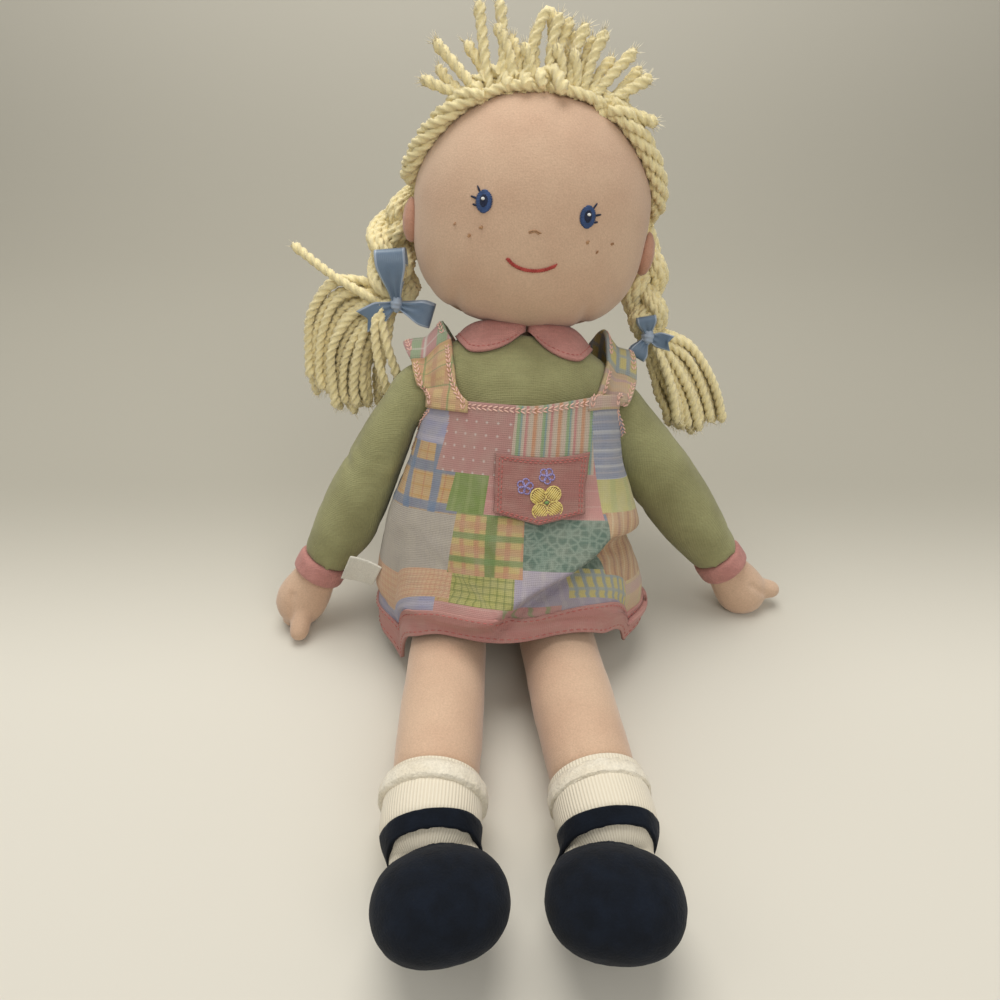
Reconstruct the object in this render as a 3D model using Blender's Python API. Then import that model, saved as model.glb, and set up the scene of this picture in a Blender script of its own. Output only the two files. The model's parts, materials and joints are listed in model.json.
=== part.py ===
"""A soft rag doll that sits on the floor, with sewn joints at the neck, shoulders, hips and braids.

The doll faces -Y, +X is to the right as one looks at its face, and Z is up. The origin lies on
the floor, on the flat of its seat. Left and right are as seen from the front.
"""

import math

import bmesh
import bpy
from mathutils import Matrix, Vector
from mathutils.bvhtree import BVHTree

# How the doll sits
RECLINE = math.radians(26)
LEAN = math.radians(4.5)
HEAD_RECLINE = math.radians(16)
HEAD_ROLL = math.radians(6)
HIP_SETBACK = 0.030
HIP_HEIGHT = 0.0195

# Fit between pieces, and cloth
GAP = 0.0003
COVER_GAP = 0.0006
JOINT_GAP = 0.0008
SINK = 0.0005
CLOTH = 0.0016
TRIM = 0.0018
OVERRUN = 0.300

# Stuffed body
TORSO_HEIGHT = 0.136
TORSO_WIDTH = 0.112
TORSO_DEPTH = 0.080
WAIST_SEAM_SHARE = 0.331
WAIST_SEAM = TORSO_HEIGHT * WAIST_SEAM_SHARE
ROUNDNESS = 2.3
TORSO_SHARES = [
    (-0.26, 0.32, 0.22, 0.28),
    (-0.12, 0.43, 0.38, 0.46),
    (0.00, 0.475, 0.46, 0.52),
    (0.12, 0.495, 0.49, 0.53),
    (0.27, 0.495, 0.49, 0.50),
    (0.42, 0.470, 0.475, 0.465),
    (0.56, 0.415, 0.450, 0.43),
    (0.68, 0.380, 0.430, 0.40),
    (0.78, 0.380, 0.415, 0.395),
    (0.87, 0.385, 0.380, 0.37),
    (0.92, 0.365, 0.325, 0.33),
    (0.96, 0.305, 0.265, 0.28),
    (0.99, 0.215, 0.195, 0.22),
]

# Neck and head
NECK_ACROSS = -0.002
NECK_BACK = 0.008
NECK_BALL = 0.015
NECK_STEM = 0.0125
NECK_DEPTH = 0.018
HEAD_WIDTH = 0.108
HEAD_DEPTH = 0.096
HEAD_TALL = 0.108
CHEEK_ROUNDNESS = 2.6
HEAD_LIFT = 0.055
HEAD_AHEAD = 0.0025
CHIN_CLEAR = 0.0018
EAR_THICK = 0.009
EAR_LONG = 0.014
EAR_TALL = 0.026
EAR_DROP = 0.014
EAR_AHEAD = 0.007
EAR_SPAN_SHARE = 0.9907

# Yarn hair
HAIR_THICK = 0.005
HAIR_TILT = math.radians(27)
HAIR_EDGE = {"top": math.radians(97), "side": math.radians(92), "nape": math.radians(76)}
FRINGE_FROM = math.radians(-50)
FRINGE_TO = math.radians(54)
FRINGE_THICK = 0.013
FRINGE_AHEAD = 0.020
FRINGE_REACH = 0.076
FRINGE_LOBES = 9
FRINGE_ROOT_SHARE = 0.92
FRINGE_END_SHARE = 0.8
# Round one lobe, how far out from root to tip, and how far back in half thicknesses
FRINGE_SECTION_SHARES = [(0.0, -1.0), (0.5, -1.15), (1.0, -0.45), (1.0, 0.45), (0.5, 1.15), (0.0, 1.0)]
FRINGE_REACH_SHARES = [
    (0.0, 0.90),
    (0.12, 0.99),
    (0.25, 1.06),
    (0.40, 1.02),
    (0.60, 0.96),
    (0.80, 0.97),
    (0.92, 0.92),
    (1.0, 0.80),
]

# Braids, ribbons and tassels, as (across, back, up, radius) in head half widths from its middle
BRAID_SHARES = {
    "left": [
        (-1.07, 0.30, 0.09, 0.155),
        (-1.20, 0.28, -0.10, 0.185),
        (-1.25, 0.25, -0.28, 0.190),
        (-1.22, 0.20, -0.44, 0.155),
        (-1.19, 0.16, -0.60, 0.180),
        (-1.16, 0.13, -0.76, 0.125),
        (-1.16, 0.12, -0.88, 0.085),
    ],
    "right": [
        (1.04, 0.26, -0.02, 0.140),
        (1.13, 0.24, -0.20, 0.160),
        (1.16, 0.20, -0.38, 0.150),
        (1.17, 0.17, -0.54, 0.170),
        (1.20, 0.15, -0.72, 0.200),
        (1.22, 0.13, -0.88, 0.140),
        (1.23, 0.12, -0.97, 0.085),
    ],
}
TASSEL_SHARES = {
    "left": [
        (-1.17, 0.12, -0.895, 0.085, 0.085),
        (-1.25, 0.16, -1.02, 0.200, 0.150),
        (-1.36, 0.21, -1.24, 0.330, 0.210),
        (-1.47, 0.25, -1.50, 0.415, 0.240),
        (-1.54, 0.28, -1.74, 0.400, 0.230),
        (-1.57, 0.29, -1.93, 0.230, 0.160),
    ],
    "right": [
        (1.24, 0.12, -0.985, 0.085, 0.085),
        (1.36, 0.16, -1.07, 0.200, 0.150),
        (1.52, 0.20, -1.20, 0.300, 0.200),
        (1.70, 0.24, -1.37, 0.360, 0.230),
        (1.85, 0.27, -1.54, 0.340, 0.220),
        (1.95, 0.28, -1.68, 0.190, 0.150),
    ],
}
# How far a braid swings in and out, and the poses between that its root is cut clear in
BRAID_IN = math.radians(-2)
BRAID_OUT = math.radians(25)
BRAID_CUTS = 4
TASSEL_TURN = {"left": math.radians(12), "right": math.radians(-40)}
BOW_KNOT = 0.0048
BOW_SHARES = {
    "left": (-1.13, -0.06, -0.84),
    "right": (1.19, -0.06, -0.93),
}
BOW_LONG = 0.026
# Each loop and tail, as length and width in the longest loop's length, and its turn from +X
BOW_LOOP_SHARES = {
    "left": [
        (1.00, 0.50, math.radians(100)),
        (0.62, 0.46, math.radians(8)),
        (0.65, 0.35, math.radians(195)),
    ],
    "right": [
        (0.65, 0.50, math.radians(160)),
        (0.50, 0.35, math.radians(10)),
        (0.46, 0.31, math.radians(-70)),
    ],
}
RIBBON_THICK = 0.0044

# Arms
SHOULDER_SPREAD = 0.092
SHOULDER_HEIGHT_SHARE = 0.7647
SHOULDER_HEIGHT = TORSO_HEIGHT * SHOULDER_HEIGHT_SHARE
ARM_LENGTH = 0.098
ARM_DIAMETER = 0.033
ARM_ROOT = 0.0145
ARM_SPLAY = {"left": math.radians(27), "right": math.radians(42)}
ARM_BACK = {"left": math.radians(6.5), "right": math.radians(12)}
ARM_SHARES = [
    (0.00, 0.875),
    (0.12, 0.885),
    (0.24, 0.950),
    (0.36, 0.985),
    (0.50, 1.000),
    (0.66, 0.975),
    (0.80, 0.900),
    (0.92, 0.800),
    (1.00, 0.740),
]
GUARD_REACH = 0.0024
GUARD_SLOPE = 0.30
CUFF_LENGTH = 0.0105
CUFF_DIAMETER = 0.0265
CUFF_SHARES = [(0.0, 0.94), (0.12, 1.0), (0.88, 1.0), (1.0, 0.94)]
HAND_LENGTH = 0.031
HAND_WIDTH = 0.027
HAND_THICK = 0.021
HAND_SHARES = [
    (0.00, 0.80),
    (0.15, 0.86),
    (0.35, 0.96),
    (0.55, 1.00),
    (0.75, 0.90),
    (0.90, 0.62),
    (0.97, 0.34),
]
THUMB_LENGTH = 0.021
THUMB_DIAMETER = 0.0125
THUMB_TIP_SHARE = 0.82
THUMB_ANGLE = math.radians(38)
THUMB_TURN = {"left": math.radians(125), "right": math.radians(0)}

# Legs
HIP_SPREAD = 0.048
LEG_DIAMETER = 0.0355
LEG_LENGTH = 0.099
LEG_YAW = {"left": math.radians(-1), "right": math.radians(8)}
LEG_RISE = math.radians(0.6)
LEG_SHARES = [(0.0, 0.985), (0.25, 1.0), (0.6, 1.015), (0.85, 1.0), (1.0, 0.975)]
HIP_UP = math.radians(6)
HIP_DOWN = math.radians(64)
ANKLE_AHEAD = 0.019
ANKLE_REACH = LEG_LENGTH + ANKLE_AHEAD
ANKLE_DIAMETER = 0.034
SOCK_CUFF_DIAMETER = 0.0435
SOCK_CUFF_LENGTH = 0.016
SOCK_CUFF_AHEAD = 0.001
SOCK_CUFF_AT = LEG_LENGTH + SOCK_CUFF_AHEAD
SOCK_CUFF_SHARES = [(0.0, 0.91), (0.18, 1.0), (0.82, 1.0), (1.0, 0.91)]
FOOT_TURN = math.radians(12)
FOOT_RISE = math.radians(35)
FOOT_LENGTH = 0.069
FOOT_WIDTH = 0.0475
FOOT_TALL = 0.036
HEEL_BACK = 0.012
FELT = 0.0022
# Along the foot from the heel, half width, top and bottom, the last two from the ankle
FOOT_SHARES = [
    (0.06, 0.24, 0.14, -0.50),
    (0.17, 0.35, 0.33, -0.68),
    (0.29, 0.40, 0.25, -0.76),
    (0.41, 0.445, 0.05, -0.79),
    (0.55, 0.485, 0.15, -0.785),
    (0.70, 0.500, 0.21, -0.755),
    (0.84, 0.440, 0.10, -0.67),
    (0.945, 0.290, -0.09, -0.50),
]
FOOT_END_SHARE = -0.27
SHOE_TOPLINE_SHARES = [(-0.3, -0.10), (0.32, -0.26), (0.45, 0.02), (0.45, 1.3), (-0.3, 1.3)]
SHOE_STRAP_TOP = 0.008
SHOE_STRAP_WIDE = 0.0125

# Pinafore dress
BIB_TOP_SHARE = 0.7647
ARMHOLE_SHARE = 0.647
SKIRT_FROM_SHARE = 0.4559
BIB_TOP = TORSO_HEIGHT * BIB_TOP_SHARE
ARMHOLE = TORSO_HEIGHT * ARMHOLE_SHARE
SKIRT_FROM = TORSO_HEIGHT * SKIRT_FROM_SHARE
SKIRT_BULGE = 0.0075
HEM_WIDTH = 0.120
HEM_FRONT = 0.072
HEM_BACK = 0.046
HEM_BAND = 0.013
HEM_LIFT = 0.0415
THIGH_CLEAR = 0.0042
# How steeply the hem drops beside a thigh, and how far ahead of the sides it starts to rise
HEM_DROP_SHARE = 1.9
HEM_RISE_SHARE = 0.2
FOLD_DEPTH = 0.003
FOLDS = 10
ARMHOLE_ROUND_SHARE = 0.8
BIB_ANGLE = math.radians(61)
SIDE_ANGLE = math.radians(89.5)
STRAP_LOFT = 0.0022
STRAP_INNER = 0.0265
STRAP_RISE = 0.006
STRAP_WIDE = 0.0190
POCKET_WIDTH = 0.045
POCKET_TALL = 0.031
POCKET_POINT = 0.0045
POCKET_ACROSS = 0.0125
POCKET_DROP = 0.021
TAG_WIDTH = 0.013
TAG_REACH = 0.017
TAG_THICK = 0.0012
TAG_HEIGHT = 0.016
TAG_AHEAD = 0.006
TAG_PITCH = math.radians(25)

# Shirt collar
COLLAR_INNER = 0.0145
COLLAR_REACH = 0.037
COLLAR_SIDE = 0.0244
COLLAR_RISE = 0.0225
COLLAR_TIP_SHARE = 0.45
COLLAR_SPREAD_SHARE = 1.6
COLLAR_FRONT = math.radians(3)
COLLAR_BACK = math.radians(177)

SIDES = {"left": -1, "right": 1}

COLOURS = {
    "skin": ((0.91, 0.78, 0.68), 0.85),
    "ear": ((0.89, 0.62, 0.47), 0.85),
    "shirt": ((0.55, 0.60, 0.36), 0.85),
    "pink": ((0.80, 0.50, 0.47), 0.85),
    "patchwork": ((0.74, 0.67, 0.52), 0.85),
    "yarn": ((0.92, 0.87, 0.60), 0.95),
    "ribbon": ((0.36, 0.47, 0.60), 0.45),
    "sock": ((0.90, 0.86, 0.78), 0.95),
    "felt": ((0.05, 0.06, 0.10), 1.0),
    "tag": ((0.92, 0.91, 0.88), 0.7),
}


# Helpers


def clear_scene():
    for item in list(bpy.data.objects):
        bpy.data.objects.remove(item, do_unlink=True)


def material(name):
    found = bpy.data.materials.get(name)
    if found:
        return found
    made = bpy.data.materials.new(name)
    made.use_nodes = True
    colour, roughness = COLOURS[name]
    shader = made.node_tree.nodes["Principled BSDF"]
    shader.inputs["Base Color"].default_value = (*colour, 1)
    shader.inputs["Roughness"].default_value = roughness
    made.diffuse_color = (*colour, 1)
    return made


def frame(name, matrix, parent=None):
    empty = bpy.data.objects.new(name, None)
    bpy.context.scene.collection.objects.link(empty)
    empty.parent = parent
    empty.matrix_basis = matrix
    return empty


def solid(name, bm, parent, cloth):
    """The mesh of bm as an object of its parent frame, or a hidden cutter where no cloth is given."""
    bmesh.ops.recalc_face_normals(bm, faces=bm.faces)
    if bm.calc_volume(signed=True) < 0:
        bmesh.ops.reverse_faces(bm, faces=bm.faces)
    mesh = bpy.data.meshes.new(name)
    bm.to_mesh(mesh)
    bm.free()
    made = bpy.data.objects.new(name, mesh)
    bpy.context.scene.collection.objects.link(made)
    made.parent = parent
    if cloth:
        mesh.materials.append(material(cloth))
        mesh.shade_smooth()
        mesh.set_sharp_from_angle(angle=math.radians(50))
    else:
        made.hide_render = True
        made.display_type = "WIRE"
    return made


def combine(target, operation, *others):
    for other in others:
        step = target.modifiers.new(operation.title(), "BOOLEAN")
        step.operation = operation
        step.solver = "EXACT"
        step.object = other
    return target


def cut(target, *cutters):
    return combine(target, "DIFFERENCE", *cutters)


def eased(table, share):
    """A row of a table of shares at this share of its first column, on a smooth curve through the rows."""
    rows = sorted(table)
    if share <= rows[0][0]:
        return rows[0][1:]
    if share >= rows[-1][0]:
        return rows[-1][1:]
    at = max(i for i, row in enumerate(rows) if row[0] <= share)
    near = [rows[max(0, min(len(rows) - 1, at + k))] for k in (-1, 0, 1, 2)]
    t = (share - near[1][0]) / (near[2][0] - near[1][0])
    result = []
    for k in range(1, len(rows[0])):
        span = near[2][0] - near[1][0]
        slopes = []
        for low, high in ((near[0], near[2]), (near[1], near[3])):
            slopes.append((high[k] - low[k]) / (high[0] - low[0]) * span)
        a, b = near[1][k], near[2][k]
        cubic = (2 * t**3 - 3 * t**2 + 1) * a + (t**3 - 2 * t**2 + t) * slopes[0]
        result.append(cubic + (3 * t**2 - 2 * t**3) * b + (t**3 - t**2) * slopes[1])
    return tuple(result)


def oval(angle):
    """Where a slightly squared circle lies at this angle, as (across, ahead)."""
    across, ahead = math.sin(angle), math.cos(angle)
    power = 2 / ROUNDNESS
    return (
        math.copysign(abs(across) ** power, across),
        math.copysign(abs(ahead) ** power, ahead),
    )


def skin(rings, first=None, last=None):
    """A closed mesh through rings of points, each end drawn to a point or closed flat."""
    bm = bmesh.new()
    loops = [[bm.verts.new(point) for point in ring] for ring in rings]
    for low, high in zip(loops, loops[1:]):
        for k in range(len(low)):
            n = (k + 1) % len(low)
            bm.faces.new((low[k], low[n], high[n], high[k]))
    for loop, end in ((loops[0], first), (loops[-1], last)):
        if end is None:
            bm.faces.new(loop)
            continue
        tip = bm.verts.new(end)
        for k in range(len(loop)):
            bm.faces.new((loop[k], loop[(k + 1) % len(loop)], tip))
    return bm


def circle(middle, axis, radius, count, lead=Vector((1, 0, 0)), flat=1.0):
    """A ring of points round an axis; flat narrows it across the lead direction."""
    side = (lead - axis * lead.dot(axis)).normalized()
    other = axis.cross(side)
    turns = [2 * math.pi * k / count for k in range(count)]
    return [middle + side * radius * math.cos(a) + other * radius * flat * math.sin(a) for a in turns]


def tube(stations, count, lead=Vector((1, 0, 0)), round_ends=(True, True)):
    """A stuffed limb through stations of (middle, radius, flatness), with rounded or flat ends."""
    rings, ends = [], []
    for k, (middle, radius, flat) in enumerate(stations):
        before = stations[max(0, k - 1)][0]
        after = stations[min(len(stations) - 1, k + 1)][0]
        rings.append(circle(middle, (after - before).normalized(), radius, count, lead, flat))
    for k, inward, is_round in ((0, 1, round_ends[0]), (-1, -2, round_ends[1])):
        middle, radius, flat = stations[k]
        if not is_round:
            ends.append(None)
            continue
        away = (middle - stations[inward][0]).normalized()
        extra = []
        for rise in (math.radians(35), math.radians(65)):
            shifted = middle + away * radius * flat * math.sin(rise)
            extra.append(circle(shifted, away if k else -away, radius * math.cos(rise), count, lead, flat))
        rings = extra[::-1] + rings if k == 0 else rings + extra
        ends.append(middle + away * radius * flat)
    return skin(rings, *ends)


def ball(middle, radius, rings=8, count=16):
    bm = bmesh.new()
    bmesh.ops.create_uvsphere(bm, u_segments=count, v_segments=rings, radius=radius)
    bmesh.ops.translate(bm, verts=bm.verts, vec=middle)
    return bm


def ellipsoid(middle, sizes, rings=8, count=16):
    bm = ball(Vector(), 1, rings, count)
    bmesh.ops.scale(bm, vec=Vector(sizes) / 2, verts=bm.verts)
    bmesh.ops.translate(bm, verts=bm.verts, vec=middle)
    return bm


def thick(grid, depth):
    """A closed sheet: the grid is its outer face, and its inner face lies depth behind it."""
    rows, columns = len(grid), len(grid[0])
    inner = []
    for r in range(rows):
        line = []
        for c in range(columns):
            along = grid[min(rows - 1, r + 1)][c] - grid[max(0, r - 1)][c]
            across = grid[r][min(columns - 1, c + 1)] - grid[r][max(0, c - 1)]
            line.append(grid[r][c] - across.cross(along).normalized() * depth)
        inner.append(line)
    bm = bmesh.new()
    faces = [[[bm.verts.new(p) for p in line] for line in side] for side in (grid, inner)]
    for side in faces:
        for r in range(rows - 1):
            for c in range(columns - 1):
                bm.faces.new((side[r][c], side[r][c + 1], side[r + 1][c + 1], side[r + 1][c]))
    edge = [(0, c) for c in range(columns)] + [(r, columns - 1) for r in range(1, rows)]
    edge += [(rows - 1, c) for c in range(columns - 2, -1, -1)] + [(r, 0) for r in range(rows - 2, 0, -1)]
    for (r, c), (s, d) in zip(edge, edge[1:] + edge[:1]):
        bm.faces.new((faces[0][r][c], faces[0][s][d], faces[1][s][d], faces[1][r][c]))
    return bm


def prism(outline, low, high, axis="X"):
    """An outline in two directions, extruded along the third."""
    place = {
        "X": lambda a, b, c: Vector((c, a, b)),
        "Y": lambda a, b, c: Vector((a, c, b)),
        "Z": lambda a, b, c: Vector((a, b, c)),
    }[axis]
    return skin([[place(a, b, c) for a, b in outline] for c in (low, high)])


def cube(low, high):
    corners = [(low.x, low.y), (high.x, low.y), (high.x, high.y), (low.x, high.y)]
    return prism(corners, low.z, high.z, "Z")


# Body


def torso_ring(height, grow, count, start=0.0, turn=2 * math.pi, closed=True):
    """Points round the torso at this height above the hip axis, grown by a clearance."""
    wide, front, back = eased(TORSO_SHARES, height / TORSO_HEIGHT)
    steps = count if closed else count - 1
    ring = []
    for k in range(count):
        across, ahead = oval(start + turn * k / steps)
        reach = TORSO_DEPTH * (front if ahead > 0 else back) + grow
        ring.append(Vector(((TORSO_WIDTH * wide + grow) * across, -reach * ahead, height)))
    return ring


def torso_skin(low, high, levels, count, grow=0.0):
    span = high - low
    heights = [low + span * k / (levels - 1) for k in range(levels)]
    top = Vector((0, 0, TORSO_HEIGHT + grow)) if high > TORSO_HEIGHT * TORSO_SHARES[-1][0] - GAP else None
    rings = [torso_ring(height, grow, count) for height in heights]
    return skin(rings, None, top)


def shoulder(side):
    return Vector((SIDES[side] * SHOULDER_SPREAD / 2, 0, SHOULDER_HEIGHT))


def shoulder_ball(side, rings=12, count=24):
    """The round end of an arm with the room that it turns in."""
    return ball(shoulder(side), ARM_ROOT + JOINT_GAP, rings, count)


def hip_groove():
    """The outline, ahead and up from the hip axis, of what the legs sweep between their limits."""
    radius = LEG_DIAMETER / 2 * LEG_SHARES[0][1] + COVER_GAP
    first = math.pi / 2 - HIP_UP
    last = HIP_DOWN - math.pi / 2
    arc = [first + (last - first) * k / 10 for k in range(11)]
    outline = [(radius * math.cos(a), radius * math.sin(a)) for a in arc]
    for angle, (y, z) in ((math.pi + HIP_DOWN, outline[-1]), (math.pi - HIP_UP, outline[0])):
        outline.append((y + OVERRUN * math.cos(angle), z + OVERRUN * math.sin(angle)))
    return outline


def build_body(torso, turning, world):
    below = cube(Vector((-OVERRUN, -OVERRUN, -OVERRUN)), Vector((OVERRUN, OVERRUN, 0)))
    floor = solid("floor_cutter", below, world, None)
    low = TORSO_HEIGHT * TORSO_SHARES[0][0]
    seat = solid("body_seat", torso_skin(low, WAIST_SEAM, 7, 24), torso, "skin")
    groove = prism([(-HIP_SETBACK + y, HIP_HEIGHT + z) for y, z in hip_groove()], -OVERRUN, OVERRUN)
    cut(seat, floor, solid("groove_cutter", groove, world, None))
    top = TORSO_HEIGHT * TORSO_SHARES[-1][0]
    chest = solid("body_chest", torso_skin(WAIST_SEAM + GAP, top, 10, 24), torso, "shirt")
    for side in SIDES:
        cut(chest, solid(f"socket_{side}", shoulder_ball(side), torso, None))
    cut(chest, solid("neck_socket", neck_form(JOINT_GAP), turning, None))
    return floor


def neck_form(grow):
    """The stuffed neck about its ball's middle: a stem in the torso and the ball in the head."""
    up = Vector((0, 0, 1))
    middle = Vector()
    radius = NECK_BALL + grow
    join = math.asin((NECK_STEM + grow) / radius)
    rings = []
    for drop in (NECK_DEPTH + grow, radius * math.cos(join)):
        rings.append(circle(middle - up * drop, up, NECK_STEM + grow, 20))
    for k in range(1, 6):
        angle = (math.pi - join) * (1 - k / 6)
        rings.append(circle(middle + up * radius * math.cos(angle), up, radius * math.sin(angle), 20))
    return skin(rings, None, middle + up * radius)


# Head and hair


def head_form(grow, rings=12, count=22):
    """The stuffed head, an ellipsoid with fuller cheeks below its middle."""
    bm = ball(Vector(), 1, rings, count)
    for vert in bm.verts:
        vert.co = head_point(vert.co, grow)
    return bm


def head_point(way, grow):
    low = min(1.0, max(0.0, -way.z))
    full = 1.0
    if 0.0 < low < 1.0:
        full = (1 - low**CHEEK_ROUNDNESS) ** (1 / CHEEK_ROUNDNESS) / math.sqrt(1 - low**2)
    half_wide, half_deep, half_tall = HEAD_WIDTH / 2 + grow, HEAD_DEPTH / 2 + grow, HEAD_TALL / 2 + grow
    return Vector((way.x * full * half_wide, way.y * full * half_deep, way.z * half_tall))


def scalp(polar, turn, grow):
    """A point of the grown head, from the hair's own pole behind the crown; turn 0 faces up and ahead."""
    tilt = HAIR_TILT
    pole = Vector((0, math.cos(tilt), math.sin(tilt)))
    upper = Vector((0, -math.sin(tilt), math.cos(tilt)))
    side = Vector((1, 0, 0))
    way = pole * math.cos(polar) + (upper * math.cos(turn) + side * math.sin(turn)) * math.sin(polar)
    return head_point(way, grow)


def hair_edge(turn):
    ahead = (1 + math.cos(turn)) / 2
    side = math.sin(turn) ** 2
    ends = HAIR_EDGE["top"] * ahead + HAIR_EDGE["nape"] * (1 - ahead)
    return ends * (1 - side) + HAIR_EDGE["side"] * side


def build_hair_cap(head, block):
    count, rows = 22, 6
    turns = [2 * math.pi * k / count for k in range(count)]
    outer = [[scalp(hair_edge(a) * r / rows, a, HAIR_THICK) for a in turns] for r in range(1, rows + 1)]
    inner = [[scalp(hair_edge(a) * r / rows, a, -GAP) for a in turns] for r in range(rows, 0, -1)]
    cap = skin(outer + inner, scalp(0, 0, HAIR_THICK), scalp(0, 0, -GAP))
    return cut(solid("hair_cap", cap, head, "yarn"), block)


def build_fringe(head, hair_block):
    """Cut ends of yarn that stand up behind the hairline, as one lobed fan."""
    count = FRINGE_LOBES * 2 + 1
    root = HEAD_TALL / 2 * FRINGE_ROOT_SHARE
    middle = Vector((0, -FRINGE_AHEAD, 0))
    back = Vector((0, 1, 0))
    rings = []
    for k in range(count):
        share = k / (count - 1)
        angle = FRINGE_FROM + (FRINGE_TO - FRINGE_FROM) * share
        out = Vector((math.sin(angle), 0, math.cos(angle)))
        reach = FRINGE_REACH * eased(FRINGE_REACH_SHARES, share)[0]
        if k % 2 == 0:
            reach -= FRINGE_THICK / 3
        half = FRINGE_THICK / 2 * (FRINGE_END_SHARE if k in (0, count - 1) else 1)
        ring = []
        for way, depth in FRINGE_SECTION_SHARES:
            ring.append(middle + out * (root + (reach - root) * way) + back * half * depth)
        rings.append(ring)
    fringe = solid("fringe", skin(rings), head, "yarn")
    cut(fringe, hair_block)


def build_head(head, neck_cutter):
    form = solid("head", head_form(0.0), head, "skin")
    cut(form, neck_cutter)
    block = solid("head_block", head_form(GAP), head, None)
    hair_block = solid("hair_block", head_form(HAIR_THICK + 2 * GAP, 24, 40), head, None)
    for side, sign in SIDES.items():
        middle = Vector((sign * HEAD_WIDTH / 2 * EAR_SPAN_SHARE, -EAR_AHEAD, -EAR_DROP))
        ear = solid(f"ear_{side}", ellipsoid(middle, (EAR_THICK, EAR_LONG, EAR_TALL), 6, 10), head, "ear")
        cut(ear, block)
    build_hair_cap(head, block)
    build_fringe(head, hair_block)


def at_head(shares):
    return Vector(shares) * HEAD_WIDTH / 2


def braid_root(side):
    """Where a braid leaves the head, and swings."""
    return at_head(BRAID_SHARES[side][0][:3])


def braid_form(side, grow, count=12):
    half, root = HEAD_WIDTH / 2, braid_root(side)
    stations = [(at_head(row[:3]) - root, row[3] * half + grow, 1.0) for row in BRAID_SHARES[side]]
    return tube(stations, count, round_ends=(True, False))


def tassel_form(side, grow, count=14):
    """The spread ends below the ribbon, widest across the tassel's own direction."""
    half, root = HEAD_WIDTH / 2, braid_root(side)
    stations = []
    for row in TASSEL_SHARES[side]:
        stations.append((at_head(row[:3]) - root, row[3] * half + grow, row[4] / row[3]))
    across = Vector((math.cos(TASSEL_TURN[side]), 0, math.sin(TASSEL_TURN[side])))
    return tube(stations, count, across, (False, True))


def build_braid(side, head):
    swing = frame(f"braid_frame_{side}", Matrix.Translation(braid_root(side)), head)
    braid = solid(f"braid_{side}", braid_form(side, 0.0), swing, "yarn")
    for k in range(BRAID_CUTS):
        angle = SIDES[side] * (BRAID_IN + (BRAID_OUT - BRAID_IN) * k / (BRAID_CUTS - 1))
        block = head_form(HAIR_THICK + 2 * GAP, 24, 40)
        turn = Matrix.Rotation(angle, 4, "Y") @ Matrix.Translation(-braid_root(side))
        bmesh.ops.transform(block, matrix=turn, verts=block.verts)
        cut(braid, solid(f"braid_swing_{side}_{k}", block, swing, None))
    tassel = solid(f"tassel_{side}", tassel_form(side, 0.0), swing, "yarn")
    cut(tassel, solid(f"braid_block_{side}", braid_form(side, GAP), swing, None))
    build_bow(side, swing)


def build_bow(side, swing):
    middle = at_head(BOW_SHARES[side]) - braid_root(side)
    bow = solid(f"bow_{side}", ball(middle, BOW_KNOT, 6, 8), swing, "ribbon")
    for k, (long_share, wide_share, turn) in enumerate(BOW_LOOP_SHARES[side]):
        long, wide = BOW_LONG * long_share, BOW_LONG * wide_share
        way = Vector((math.cos(turn), 0, math.sin(turn)))
        form = ellipsoid(Vector(), (long, RIBBON_THICK, wide), 6, 8)
        place = Matrix.Translation(middle + way * (long / 2 - BOW_KNOT / 4))
        bmesh.ops.transform(form, matrix=place @ Matrix.Rotation(-turn, 4, "Y"), verts=form.verts)
        combine(bow, "UNION", solid(f"bow_loop_{side}_{k}", form, swing, None))
    braid_cutter = solid(f"bow_braid_cutter_{side}", braid_form(side, GAP, 14), swing, None)
    cut(bow, braid_cutter, solid(f"bow_tassel_cutter_{side}", tassel_form(side, GAP), swing, None))


# Arms


def arm_guard(shift):
    """What the body and dress may fill beside a shoulder: all inside a cone about the lateral axis."""
    near = ARM_ROOT
    reach = OVERRUN
    wall = GUARD_REACH + GUARD_SLOPE * (reach - near)
    profile = [(near * math.sin(a), -near * math.cos(a)) for a in (math.pi * k / 12 for k in range(1, 7))]
    profile += [(near, GUARD_REACH), (reach, wall), (reach, -reach)]
    axis = Vector((1, 0, 0))
    rings = [circle(shift + axis * x, axis, radius, 20, Vector((0, 0, 1))) for radius, x in profile]
    return skin(rings, shift - axis * near, shift - axis * reach)


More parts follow.
